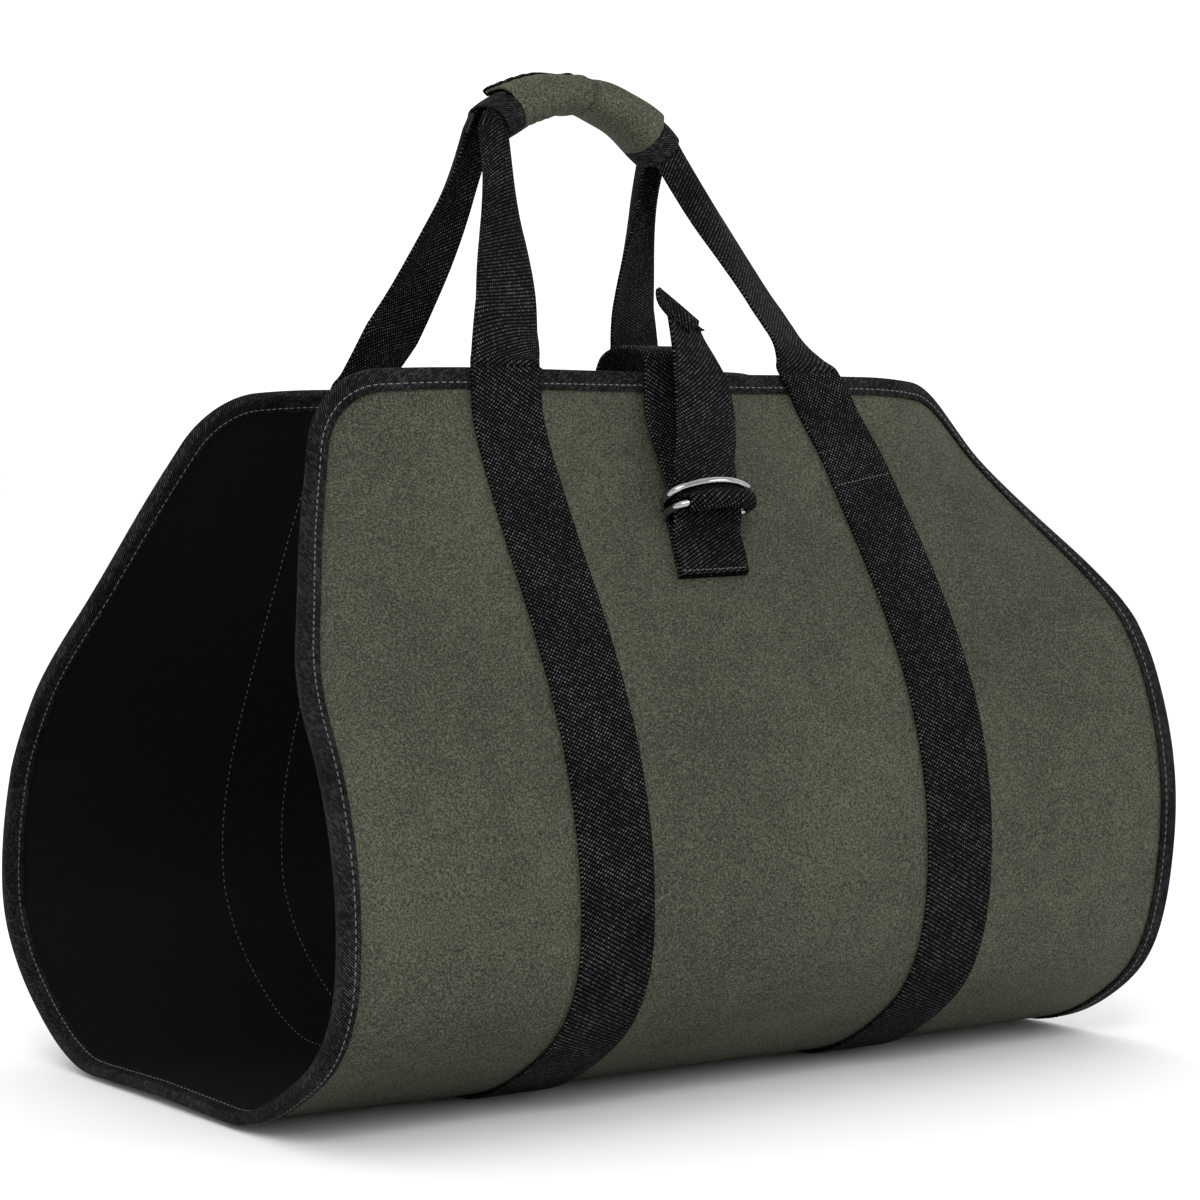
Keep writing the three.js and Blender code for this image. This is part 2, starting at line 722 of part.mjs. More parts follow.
// The loop is sewn flat on the panel, rises over both bars and returns underneath them
function ringLoop() {
  const backLift = layerGap + webbingThickness / 2;
  const frontLift = backLift + webbingThickness + layerGap;
  const overBar = barLift + ringClear;
  const bulgeStart = loopLength - ringSpacing - 2.5 * ringWire;
  const route = [
    { up: 0, lift: frontLift },
    { up: bulgeStart, lift: frontLift },
    { up: loopLength - ringSpacing - ringWire / 2, lift: overBar },
    { up: loopLength, lift: overBar },
  ];
  for (let i = 1; i <= 4; i += 1) {
    const angle = (Math.PI * i) / 4;
    route.push({ up: loopLength + ringClear * Math.sin(angle), lift: barLift + ringClear * Math.cos(angle) });
  }
  route.push({ up: bulgeStart, lift: backLift }, { up: 0, lift: backLift });
  const grid = route.map(({ up, lift }) => [-0.5, 0.5].map((side) => {
    const slant = loopSlant * (up / loopLength - 1);
    return clothPoint(closurePlace + slant + side * webbingWidth, loopLength - up - upperBar, lift);
  }));
  return thickSheet(grid, webbingThickness);
}

// Closure strap as stations: place of its middle line, direction of its width, the direction
// in which its two edges bend, and the share of closureCup by which they do
const rearward = new THREE.Vector3(0, 1, 0);

function closureStations() {
  const flat = webbingThickness / 2;
  const stations = [];
  const onCloth = (place, along, lift, cup) => {
    const at = clothPoint(place, along, lift);
    const across = clothPoint(place + 1, along, lift).sub(at).normalize();
    stations.push({ at, across, bend: rearward, cup });
  };
  const inAir = (at, twist, lean, cup) => {
    const across = new THREE.Vector3(Math.cos(degToRad(twist)), Math.sin(degToRad(twist)), 0)
      .multiplyScalar(Math.cos(degToRad(lean)));
    across.z = -Math.sin(degToRad(lean));
    stations.push({ at, across, bend: rearward, cup });
  };
  [-closureStitch, -bindingWidth - strapRamp, -bindingWidth, 0, strapRamp / 2].forEach((past) => {
    const along = clothHalfLength + past;
    onCloth(0, along, strapLift(along) + flat, 0);
  });

  const backTop = clothPoint(0, clothHalfLength, 0);
  const frontTop = clothPoint(0, -clothHalfLength, 0);
  bridge.forEach(({ span, rise }) => {
    const at = backTop.clone().lerp(frontTop, span);
    at.z += rise * bridgeHeight;
    inAir(at, bridgeTwist, 0, 0);
  });
  [-0.1, 0.08, 0.3, 0.55].forEach((share) => {
    const along = lerp(clothHalfLength, upperBar, share);
    const sag = closureSag * share ** 2;
    onCloth(closurePlace * share, -along, strapLift(along) + 2 * flat + legGap + sag, Math.max(share, 0));
  });

  const upper = ringFrame(true);
  const lower = ringFrame(false);
  const upperWire = upper.bar.clone().addScaledVector(upper.reach, ringDepth);
  const lowerWire = lower.bar.clone().addScaledVector(lower.reach, ringDepth);
  const wrapRadius = ringClear + layerGap;
  const throughRing = (frame, wire, angle, behind, cup) => {
    const at = wire.clone()
      .addScaledVector(frame.out, -wrapRadius * behind * Math.cos(angle))
      .addScaledVector(frame.up, -wrapRadius * Math.sin(angle));
    stations.push({ at, across: frame.across, bend: frame.reach.clone().negate(), cup });
  };
  const cross = Math.asin((2 * wrapRadius) / upperWire.distanceTo(lowerWire));
  throughRing(upper, upperWire, 0, 2, 0.9);
  for (let i = 0; i <= 5; i += 1) {
    throughRing(lower, lowerWire, ((Math.PI + cross) * i) / 5, 1, 1);
  }
  throughRing(upper, upperWire, cross, 1.5, 1);

  const tailFoot = frontTop.z - ringDrop * 0.77;
  tail.forEach(({ rise, forward, aside, twist, lean }) => {
    const at = new THREE.Vector3(
      aside * webbingWidth,
      frontTop.y - forward * tailForward,
      tailFoot + rise * tailHeight,
    );
    inAir(at, twist, lean, 0.8 * (1 - rise));
  });
  return stations;
}

function closureStrap() {
  const grid = closureStations().map(({ at, across, bend, cup }) => {
    const cupAngle = Math.max(degToRad(closureCup) * cup, 1e-3);
    const radius = webbingWidth / cupAngle;
    return Array.from({ length: 5 }, (_, j) => {
      const angle = (j / 4 - 0.5) * cupAngle;
      return at.clone()
        .addScaledVector(across, radius * Math.sin(angle))
        .addScaledVector(bend, radius * (1 - Math.cos(angle)));
    });
  });
  return thickSheet(grid, webbingThickness);
}

function cloth(color, roughness = 0.9) {
  return new THREE.MeshStandardMaterial({ color, roughness, metalness: 0 });
}

const olive = 0x4e5242;
const black = 0x141414;
const chrome = new THREE.MeshStandardMaterial({ color: 0xd8d8d8, roughness: 0.12, metalness: 1 });

const carrier = new THREE.Group();
carrier.name = 'log_carrier';
carrier.add(
  slingLayer(0, -canvasThickness).mesh('outer_canvas', cloth(olive)),
  slingLayer(-canvasThickness - layerGap, -clothStack).mesh('inner_lining', cloth(black)),
  edgeBinding().mesh('edge_binding', cloth(black)),
  slingStrap(-strapPlace).mesh('sling_strap_left', cloth(black)),
  slingStrap(strapPlace).mesh('sling_strap_right', cloth(black)),
  handle(true).mesh('front_handle', cloth(black)),
  handle(false).mesh('back_handle', cloth(black)),
  gripWrap().mesh('grip_wrap', cloth(olive)),
  gripBand(true).mesh('grip_band_left', cloth(black)),
  gripBand(false).mesh('grip_band_right', cloth(black)),
  gripFlapBinding().mesh('grip_flap_binding', cloth(black)),
  closureStrap().mesh('closure_strap', cloth(black)),
  ringLoop().mesh('ring_loop', cloth(black)),
  dRing(true).mesh('d_ring_upper', chrome),
  dRing(false).mesh('d_ring_lower', chrome),
);

// The origin goes to the floor under the middle of the whole carrier
const bounds = new THREE.Box3().setFromObject(carrier);
const middle = bounds.getCenter(new THREE.Vector3());
carrier.position.set(-middle.x, -middle.y, -bounds.min.z);

export default carrier;
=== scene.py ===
"""Canvas log carrier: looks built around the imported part.

Lengths are in millimetres until a skin is made, and directions follow the part: X runs along
the width of the cloth, the front panel faces -Y, and Z is up.
"""

import math

import bpy
import numpy as np
from mathutils import Matrix, Vector


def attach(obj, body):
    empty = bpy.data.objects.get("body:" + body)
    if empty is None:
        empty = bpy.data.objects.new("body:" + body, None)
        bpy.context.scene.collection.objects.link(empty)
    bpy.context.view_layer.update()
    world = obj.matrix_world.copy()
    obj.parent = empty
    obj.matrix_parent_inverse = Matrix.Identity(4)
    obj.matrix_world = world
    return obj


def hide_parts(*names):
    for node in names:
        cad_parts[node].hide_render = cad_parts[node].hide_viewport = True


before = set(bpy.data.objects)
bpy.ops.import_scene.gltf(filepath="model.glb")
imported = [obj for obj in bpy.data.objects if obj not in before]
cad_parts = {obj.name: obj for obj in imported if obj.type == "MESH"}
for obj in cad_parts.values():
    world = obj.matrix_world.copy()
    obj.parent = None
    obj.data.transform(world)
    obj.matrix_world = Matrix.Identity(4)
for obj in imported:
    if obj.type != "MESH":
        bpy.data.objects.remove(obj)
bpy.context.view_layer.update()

# Cloth, tape and webbing, as they are cut
CLOTH_WIDTH = 460.0
HALF_LENGTH = 468.0
TOP_HALF_WIDTH = 181.0
CHAMFER = 142.0
TOP_RADIUS = 36.0
SIDE_RADIUS = 150.0
CANVAS = 1.2
LINING = 1.0
BINDING_WIDTH = 8.5
BINDING = 1.0
WEBBING_WIDTH = 38.0
WEBBING = 1.8
STRAP_PLACE = 96.0
GAP = 0.4
STACK = CANVAS + GAP + LINING
CURL_START = STRAP_PLACE + WEBBING_WIDTH / 2
STRAP_RAMP = 10.0
LEG_GAP = 1.8
BASE_END_LIFT = 3.0
BASE_LIFT_SHARE = 0.3

# The carrier's own frame stands this far from the middle of the base
STAND = np.array([0.0, 0.59, 0.0])

# Steepness of the cloth in degrees above the floor, from the middle of the base to a top edge
SHARE = [0, 0.14, 0.18, 0.24, 0.31, 0.37, 0.43, 0.51, 0.6, 0.68, 0.79, 0.92, 1]
FRONT_LEFT = [0, 0, 15, 27, 34, 57, 84, 97, 108, 116, 121, 116, 92]
FRONT_RIGHT = [0, 0, 15, 29, 40, 65, 82, 93, 106, 117, 125, 126, 109]
BACK_LEFT = [0, 0, 16, 31, 42, 58, 88, 108, 118, 120, 120, 126, 128]
BACK_RIGHT = [0, 0, 14, 26, 34, 62, 84, 93, 105, 116, 112, 114, 110]

# Roll of the corners towards the inside, in degrees over the width left at the top edge
CURL_SHARE = [0, 0.55, 0.63, 0.7, 0.77, 0.84, 0.92, 1]
FRONT_LEFT_CURL = [0, 0, 1, 5, 11, 19, 33, 50]
FRONT_RIGHT_CURL = [0, 0, 0, 0, 4, 10, 18, 28]
BACK_CURL = [0, 0, 3, 6, 9, 12, 14, 14]

# Free top of each strap, and how far it leans sideways at the edge of the cloth
STRAP_FREE = 50.0
STRAP_LEAN = {"front_left": 0.0, "front_right": -11.0, "back_left": 1.5, "back_right": -7.0}


def table(x, places, values):
    """Smooth curve through a table: on each stretch a cubic that starts and ends with the
    slopes of the chords round its two ends."""
    places = np.asarray(places, float)
    values = np.asarray(values, float)
    slope = np.gradient(values, places, axis=0)
    x = np.clip(x, places[0], places[-1])
    k = np.clip(np.searchsorted(places, x) - 1, 0, len(places) - 2)
    gap = places[k + 1] - places[k]
    t = (x - places[k]) / gap
    if values.ndim > 1:
        gap = gap[..., None]
        t = t[..., None]
    start = (1 + 2 * t) * (1 - t) ** 2 * values[k] + t * (1 - t) ** 2 * gap * slope[k]
    end = t * t * (3 - 2 * t) * values[k + 1] + t * t * (t - 1) * gap * slope[k + 1]
    return start + end


def smoothstep(x, low, high):
    """Rise from 0 to 1 between two places, level at both."""
    t = np.clip((x - low) / (high - low), 0, 1)
    return t * t * (3 - 2 * t)


def unit(v):
    """Directions of a whole array of vectors."""
    return v / np.maximum(np.linalg.norm(v, axis=-1, keepdims=True), 1e-12)


def dot(a, b):
    """Dot products of two arrays of vectors, kept as a last axis of one."""
    return np.sum(a * b, axis=-1, keepdims=True)


def distances(points):
    """Distance walked along a line of points, up to each of them."""
    return np.concatenate([[0], np.cumsum(np.linalg.norm(np.diff(points, axis=0), axis=1))])


# Finely walked sections of the sling: distance out from the middle, height and steepness
WALK_STEP = 0.25
SOFTENED = 12.0
WALK = np.linspace(0, HALF_LENGTH, int(HALF_LENGTH / WALK_STEP) + 1)


def walk_section(steepness):
    """The section is the running sum of cosine and sine of its steepness, softened over a short stretch."""
    angle = np.radians(np.interp(WALK / HALF_LENGTH, SHARE, steepness))
    reach = int(SOFTENED / WALK_STEP / 2)
    window = np.ones(2 * reach + 1) / (2 * reach + 1)
    soft = np.convolve(np.pad(angle, reach, mode="edge"), window, mode="valid")
    middle = (soft[1:] + soft[:-1]) / 2
    out = np.concatenate([[0], np.cumsum(np.cos(middle) * WALK_STEP)])
    up = GAP + WEBBING + np.concatenate([[0], np.cumsum(np.sin(middle) * WALK_STEP)])
    return np.stack([out, up, soft])


SECTIONS = {
    "front": (walk_section(FRONT_LEFT), walk_section(FRONT_RIGHT)),
    "back": (walk_section(BACK_LEFT), walk_section(BACK_RIGHT)),
}


def ripple(across, along):
    """Slack of the cloth in millimetres: long low swells that fade at the base and at the
    sewn straps, a little stronger towards the open ends."""
    high = smoothstep(np.abs(along), 120, 220)
    free = np.sin(np.pi * np.clip(np.abs(across) / (STRAP_PLACE - WEBBING_WIDTH / 2), 0, 1)) ** 2
    end = smoothstep(np.abs(across), CURL_START, CLOTH_WIDTH / 2)
    swell = np.sin(along / 61 + across / 190) + 0.6 * np.sin(along / 34 - across / 77 + 1.3)
    flutter = np.sin(along / 47 + 2 * np.sign(across)) + 0.5 * np.sin(along / 21 + 0.7)
    return high * (0.9 * free * swell + 1.6 * end * flutter)


def cloth_point(across, along, lift, slack=True):
    """Sling surface: the two strap sections are blended straight across between the straps,
    and beyond them each corner rolls inwards on a growing arc and the base lifts a little."""
    across, along, lift = np.broadcast_arrays(
        np.asarray(across, float), np.asarray(along, float), np.asarray(lift, float)
    )
    place = np.abs(along)
    front = along < 0
    blend = np.clip(0.5 + across / (2 * CURL_START), 0, 1)
    values = []
    for row in range(3):
        ends = [
            np.where(
                front,
                np.interp(place, WALK, SECTIONS["front"][side][row]),
                np.interp(place, WALK, SECTIONS["back"][side][row]),
            )
            for side in (0, 1)
        ]
        values.append(ends[0] * (1 - blend) + ends[1] * blend)
    out, up, angle = values
    past = np.maximum(place - HALF_LENGTH, 0)
    out = out + past * np.cos(angle)
    up = up + past * np.sin(angle)

    share = place / HALF_LENGTH
    front_curl = np.where(
        across < 0, table(share, CURL_SHARE, FRONT_LEFT_CURL), table(share, CURL_SHARE, FRONT_RIGHT_CURL)
    )
    curl = np.radians(np.where(front, front_curl, table(share, CURL_SHARE, BACK_CURL)))
    bend = np.maximum(curl / (TOP_HALF_WIDTH - CURL_START), 1e-6)
    beyond = np.maximum(np.abs(across) - CURL_START, 0)
    turn = bend * beyond
    side = np.sign(across)
    facing = np.where(front, -1.0, 1.0)

    outward = np.stack([0 * out, facing * np.sin(angle), -np.cos(angle)], -1)
    point = np.stack([0 * out, facing * out, up], -1)
    point = point - outward * ((1 - np.cos(turn)) / bend)[..., None]
    point[..., 0] = side * (np.minimum(np.abs(across), CURL_START) + np.sin(turn) / bend)
    end_share = beyond / (CLOTH_WIDTH / 2 - CURL_START)
    point[..., 2] += BASE_END_LIFT * end_share**2 * np.maximum(1 - share / BASE_LIFT_SHARE, 0)
    outward = outward * np.cos(turn)[..., None]
    outward[..., 0] = side * np.sin(turn)
    extra = ripple(across, along) if slack else 0
    return point + outward * (lift + extra)[..., None]


def round_corner(before, corner, after, radius):
    """Arc of a fillet between two straight edges, with the direction into the cloth."""
    arrive = unit(corner - before)
    leave = unit(after - corner)
    turn = math.acos(float(np.dot(arrive, leave)))
    inward = np.array([arrive[1], -arrive[0]])
    centre = corner - arrive * radius * math.tan(turn / 2) + inward * radius
    angles = -np.linspace(0, turn, 24)
    cos, sin = np.cos(angles), np.sin(angles)
    normal = np.stack([inward[0] * cos - inward[1] * sin, inward[0] * sin + inward[1] * cos], -1)
    return centre - normal * radius, normal


def flat_outline(pitch):
    """Outline of the flat cloth walked at an even pitch: a rectangle with four cut corners,
    each pair of edges joined by an arc. Gives edge points, inward directions and lengths."""
    top = np.array([0, HALF_LENGTH])
    top_corner = np.array([TOP_HALF_WIDTH, HALF_LENGTH])
    side_corner = np.array([CLOTH_WIDTH / 2, HALF_LENGTH - CHAMFER])
    middle = np.array([CLOTH_WIDTH / 2, 0])
    upper, upper_in = round_corner(top, top_corner, side_corner, TOP_RADIUS)
    lower, lower_in = round_corner(top_corner, side_corner, middle, SIDE_RADIUS)
    edge = np.concatenate([[top], upper, lower, [middle]])
    inward = np.concatenate([[[0, -1]], upper_in, lower_in, [[-1, 0]]])
    flips = [(1, 1), (1, -1), (-1, -1), (-1, 1)]
    edges, inwards = [], []
    for k, flip in enumerate(flips):
        order = slice(None, None, 1 if k % 2 == 0 else -1)
        edges.append((edge * flip)[order][:-1])
        inwards.append((inward * flip)[order][:-1])
    edge = np.concatenate(edges + [edges[0][:1]])
    inward = np.concatenate(inwards + [inwards[0][:1]])
    length = distances(edge)
    count = int(round(length[-1] / pitch))
    walked = np.arange(count) * length[-1] / count
    at = np.stack([np.interp(walked, length, edge[:, k]) for k in (0, 1)], -1)
    into = np.stack([np.interp(walked, length, inward[:, k]) for k in (0, 1)], -1)
    return at, unit(into), walked


def half_width(along):
    """Half width of the flat cloth at a distance from its middle."""
    edge, _, _ = flat_outline(1.0)
    quarter = edge[(edge[:, 0] > 0) & (edge[:, 1] >= 0)]
    quarter = quarter[np.argsort(quarter[:, 1])]
    return np.interp(np.abs(along), quarter[:, 1], quarter[:, 0])


# Meshes


def make_piece(name, points, faces, corners, material, nodes):
    """Puts arrays of points, faces and weave coordinates into a smooth mesh that rides on the
    part and stands for its nodes."""
    mesh = bpy.data.meshes.new(name)
    mesh.from_pydata(((points + STAND) * 0.001).tolist(), [], faces)
    weave = mesh.uv_layers.new(name="weave")
    weave.uv.foreach_set("vector", np.asarray(corners, np.float32).ravel())
    mesh.shade_smooth()
    mesh.materials.append(material)
    piece = bpy.data.objects.new(name, mesh)
    bpy.context.scene.collection.objects.link(piece)
    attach(piece, "root")
    if nodes:
        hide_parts(*nodes)
    return piece


def skin(name, rings, weave, material, nodes=(), looped=False):
    """Closed skin through a stack of rings: a grid of quads that wraps round each ring, and
    round the stack if looped, else with a flat cap at each end. weave holds a coordinate for
    each ring point and one more for the closing column, in metres along the cloth."""
    n, m = rings.shape[:2]
    rows = n if looped else n - 1
    i, j = np.meshgrid(np.arange(rows), np.arange(m), indexing="ij")
    ends = [(i, j), (i + 1, j), (i + 1, j + 1), (i, j + 1)]
    quads = np.stack([(a % n) * m + b % m for a, b in ends], -1).reshape(-1, 4)
    corners = np.stack([weave[a, b] for a, b in ends], -2).reshape(-1, 4, 2)
    caps = [] if looped else [np.arange(m), (n - 1) * m + np.arange(m)[::-1]]
    points = rings.reshape(-1, 3)
    low = points.mean(0)
    volume = 0.0
    fans = [np.stack([0 * c[1:-1] + c[0], c[1:-1], c[2:]], -1) for c in caps]
    for tri in [quads[:, [0, 1, 2]], quads[:, [0, 2, 3]], *fans]:
        a, b, c = (points[tri[:, k]] - low for k in range(3))
        volume += np.sum(np.cross(a, b) * c)
    if volume < 0:
        quads, corners = quads[:, ::-1], corners[:, ::-1]
        caps = [c[::-1] for c in caps]
    flat = np.concatenate([corners.reshape(-1, 2), np.zeros((m * len(caps), 2))])
    faces = quads.tolist() + [c.tolist() for c in caps]
    return make_piece(name, points, faces, flat, material, nodes)


def normals_of(grid):
    """Directions across a grid of points: cross product of its two runs."""
    return unit(np.cross(np.gradient(grid, axis=1), np.gradient(grid, axis=0)))


def band(name, grid, thickness, weave, material, nodes=(), selvedge=1.0):
    """Sheet of some thickness about its middle surface, whose two long edges round off over
    the selvedge width. weave holds a coordinate for each point of the middle surface."""
    reach = np.linalg.norm(grid - grid[:, :1], axis=-1)
    reach = np.minimum(reach, reach[:, ::-1])
    full = np.sqrt(1 - (1 - np.clip(reach / selvedge, 0.0, 1)) ** 2) * 0.8 + 0.2
    offset = normals_of(grid) * (full * thickness / 2)[..., None]
    rings = np.concatenate([grid + offset, (grid - offset)[:, ::-1]], axis=1)
    around = np.concatenate([weave, weave[:, ::-1], weave[:, :1]], axis=1)
    return skin(name, rings, around, material, nodes)


def lateral(width, count, selvedge=1.0):
    """Places across a tape from edge to edge, closer together along its two selvedges."""
    edge = selvedge * np.array([0, 0.15, 0.5, 1])
    half = width / 2
    inner = np.linspace(-half + selvedge, half - selvedge, count)[1:-1]
    return np.concatenate([-half + edge, inner, half - edge[::-1]])


def lengths_along(grid):
    """Distance walked along the middle line of a grid."""
    return distances(grid[:, grid.shape[1] // 2])


def tape_weave(grid, places):
    """Weave coordinates of a tape in metres: along it, and across it from its middle."""
    along = np.broadcast_to(lengths_along(grid)[:, None], grid.shape[:2])
    across = np.broadcast_to(places, grid.shape[:2])
    return np.stack([along, across], -1) * 0.001


def around_section(distance, lift):
    """Weave lengths round the section of a folded tape, with one more for its closing column."""
    length = distances(np.stack([distance, lift], -1))
    return np.concatenate([length, [length[-1] + 0.4]])


def stitches(name, centre, ahead, out, length, width, material):
    """Row of thread stitches: each is a small spindle that lies along the seam, arched over
    the cloth, its radius a half wave of its length."""
    x = np.array([-0.5, -0.42, -0.2, 0.2, 0.42, 0.5])
    radius = np.sqrt(np.maximum(1 - (2 * x) ** 4, 0.06))
    turn = np.arange(6) * math.pi / 3
    side = unit(np.cross(out, ahead))
    local = np.stack(np.broadcast_arrays(
        x[:, None] * length,
        radius[:, None] * np.cos(turn) * width / 2,
        radius[:, None] * np.sin(turn) * width * 0.35 - (2 * x[:, None]) ** 4 * width * 0.3,
    ), -1).reshape(-1, 3)
    axes = np.stack([unit(ahead), side, unit(out)], 1)
    points = centre[:, None] + np.einsum("pk,nkd->npd", local, axes)
    i, j = np.meshgrid(np.arange(len(x) - 1), np.arange(6), indexing="ij")
    quad = np.stack([i * 6 + j, i * 6 + (j + 1) % 6, (i + 1) * 6 + (j + 1) % 6, (i + 1) * 6 + j], -1)
    quad = quad.reshape(-1, 4)[:, ::-1]
    caps = np.array([np.arange(6), (len(x) - 1) * 6 + np.arange(6)[::-1]])
    starts = np.arange(len(centre))[:, None, None] * len(local)
    faces = (quad + starts).reshape(-1, 4).tolist() + (caps + starts).reshape(-1, 6).tolist()
    corners = np.zeros((sum(len(face) for face in faces), 2))
    return make_piece(name, points.reshape(-1, 3), faces, corners, material, ())


# Materials


def node_group(name, inputs, outputs):
    """Empty shader group with named inputs and outputs, and its two end nodes."""
    group = bpy.data.node_groups.new(name, "ShaderNodeTree")
    for label, kind, value in inputs:
        socket = group.interface.new_socket(label, in_out="INPUT", socket_type=kind)
        if value is not None:
            socket.default_value = value
    for label, kind in outputs:
        group.interface.new_socket(label, in_out="OUTPUT", socket_type=kind)
    return group, group.nodes.new("NodeGroupInput"), group.nodes.new("NodeGroupOutput")


def math_node(tree, operation, a, b=None, c=None):
    """Math node fed by sockets or numbers; gives its result."""
    node = tree.nodes.new("ShaderNodeMath")
    node.operation = operation
    for slot, value in zip(node.inputs, (a, b, c)):
        if isinstance(value, bpy.types.NodeSocket):
            tree.links.new(value, slot)
        elif value is not None:
            slot.default_value = value
    return node.outputs[0]


def noise_node(tree, vector, scale, detail=3.0, rough=0.55):
    """Noise read at a place; gives its grey value."""
    node = tree.nodes.new("ShaderNodeTexNoise")
    node.inputs["Scale"].default_value = scale
    node.inputs["Detail"].default_value = detail
    node.inputs["Roughness"].default_value = rough
    tree.links.new(vector, node.inputs["Vector"])
    return node.outputs["Fac"]


def weave_group():
    """Woven tape: plain weave is the positive part of a product of two sine waves, one across
    the tape and one along it, which leaves staggered ovals; twill is the square of the wave
    along the tape, slanted into diagonal ribs. Glint is a painted highlight on the thread
    crowns: the weave height times a brightness that differs from thread to thread."""
    group, start, end = node_group(
        "woven tape",
        [("Cloth", "NodeSocketVector", None), ("Rib", "NodeSocketFloat", 0.0011),
         ("Thread", "NodeSocketFloat", 0.0009), ("Lean", "NodeSocketFloat", 0.3),
         ("Twill", "NodeSocketFloat", 0.0)],
        [("Height", "NodeSocketFloat"), ("Glint", "NodeSocketFloat")],
    )
    split = group.nodes.new("ShaderNodeSeparateXYZ")
    group.links.new(start.outputs["Cloth"], split.inputs[0])
    rib = math_node(group, "DIVIDE", split.outputs["Y"], start.outputs["Rib"])
    run = math_node(group, "DIVIDE", split.outputs["X"], start.outputs["Thread"])
    run = math_node(group, "MULTIPLY_ADD", rib, start.outputs["Lean"], run)
    across = math_node(group, "SINE", math_node(group, "MULTIPLY", rib, math.pi))
    along = math_node(group, "SINE", math_node(group, "MULTIPLY", run, math.pi))
    plain = math_node(group, "MAXIMUM", math_node(group, "MULTIPLY", across, along), 0.0)
    twill = math_node(group, "MULTIPLY", along, along)
    change = math_node(group, "SUBTRACT", twill, plain)
    height = math_node(group, "MULTIPLY_ADD", change, start.outputs["Twill"], plain)
    group.links.new(height, end.inputs["Height"])
    # Painted highlight: each thread crown gets a random strength, times the weave height
    white = group.nodes.new("ShaderNodeTexWhiteNoise")
    white.noise_dimensions = "2D"
    spot = group.nodes.new("ShaderNodeCombineXYZ")
    group.links.new(math_node(group, "FLOOR", rib), spot.inputs[0])
    group.links.new(math_node(group, "FLOOR", run), spot.inputs[1])
    group.links.new(spot.outputs[0], white.inputs["Vector"])
    bright = math_node(group, "POWER", white.outputs["Value"], 2.0)
    bright = math_node(group, "MULTIPLY_ADD", bright, 0.72, 0.28)
    group.links.new(math_node(group, "MULTIPLY", bright, height), end.inputs["Glint"])
    return group


def canvas_group():
    """Waxed canvas: plain weave of crossing threads under a wax film that clouds it in soft
    patches, with small scuffs."""
    group, start, end = node_group(
        "waxed canvas",
        [("Cloth", "NodeSocketVector", None), ("Place", "NodeSocketVector", None),
         ("Thread", "NodeSocketFloat", 0.0007)],
        [("Height", "NodeSocketFloat"), ("Cloud", "NodeSocketFloat"), ("Grain", "NodeSocketFloat")],
    )
    split = group.nodes.new("ShaderNodeSeparateXYZ")
    group.links.new(start.outputs["Cloth"], split.inputs[0])
    waves = []
    for axis in ("X", "Y"):
        turns = math_node(group, "DIVIDE", split.outputs[axis], start.outputs["Thread"])
        waves.append(math_node(group, "SINE", math_node(group, "MULTIPLY", turns, math.pi)))
    weave = math_node(group, "MULTIPLY", waves[0], waves[1])
    cloud = noise_node(group, start.outputs["Place"], 7.0, 4.0, 0.6)
    grain = noise_node(group, start.outputs["Place"], 1100.0, 2.0, 0.8)
    patch = noise_node(group, start.outputs["Place"], 70.0, 5.0, 0.7)
    rough = math_node(group, "ADD", math_node(group, "MULTIPLY", grain, 1.6), patch)
    group.links.new(math_node(group, "MULTIPLY_ADD", weave, 0.25, rough), end.inputs["Height"])
    group.links.new(math_node(group, "MULTIPLY_ADD", patch, 0.6, cloud), end.inputs["Cloud"])
    group.links.new(grain, end.inputs["Grain"])
    return group


WOVEN = weave_group()
WAXED = canvas_group()


def blank_material(name, roughness):
    """Material with its shader, cloth coordinates and place coordinates."""
    material = bpy.data.materials.new(name)
    material.use_nodes = True
    tree = material.node_tree
    shader = tree.nodes["Principled BSDF"]
    shader.inputs["Roughness"].default_value = roughness
    cloth = tree.nodes.new("ShaderNodeUVMap")
    cloth.uv_map = "weave"
    place = tree.nodes.new("ShaderNodeTexCoord")
    return material, tree, shader, cloth.outputs["UV"], place.outputs["Object"]


def ramp(tree, fac, stops):
    """Colour ramp over a grey value."""
    node = tree.nodes.new("ShaderNodeValToRGB")
    elements = node.color_ramp.elements
    for element, (place, colour) in zip(elements, (stops[0], stops[-1])):
        element.position = place
        element.color = (*colour, 1)
    for place, colour in stops[1:-1]:
        elements.new(place).color = (*colour, 1)
    tree.links.new(fac, node.inputs[0])
    return node.outputs[0]


def bump(tree, shader, height, strength, distance):
    """Bump of a height in front of the shader's normal."""
    node = tree.nodes.new("ShaderNodeBump")
    node.inputs["Strength"].default_value = strength
    node.inputs["Distance"].default_value = distance
    tree.links.new(height, node.inputs["Height"])
    tree.links.new(node.outputs[0], shader.inputs["Normal"])


def tape_material(name, rib, thread, lean, twill, light, strength):
    """Black woven tape or webbing: dark ground, with a painted highlight on the thread crowns that is
    stronger in worn places.
    """
    material, tree, shader, cloth, place = blank_material(name, 0.65)
    weave = tree.nodes.new("ShaderNodeGroup")
    weave.node_tree = WOVEN
    for label, value in (("Rib", rib), ("Thread", thread), ("Lean", lean), ("Twill", twill)):
        weave.inputs[label].default_value = value
    tree.links.new(cloth, weave.inputs["Cloth"])
    # Wear noise that makes the painted crown highlight stronger in patches
    wear_and_highlight = math_node(tree, "MULTIPLY_ADD", noise_node(tree, place, 38.0, 3.0), 1.6, 0.1)
    value = math_node(tree, "MULTIPLY", weave.outputs["Glint"], wear_and_highlight)
    # The ramp runs from the black ground to the light colour, which is the painted highlight on the crowns
    tree.links.new(ramp(tree, value, [(0.02, BLACK), (1.0, light)]), shader.inputs["Base Color"])
    shader.inputs["Specular IOR Level"].default_value = 0.015
    bump(tree, shader, weave.outputs["Height"], strength, 0.0004)
    return material


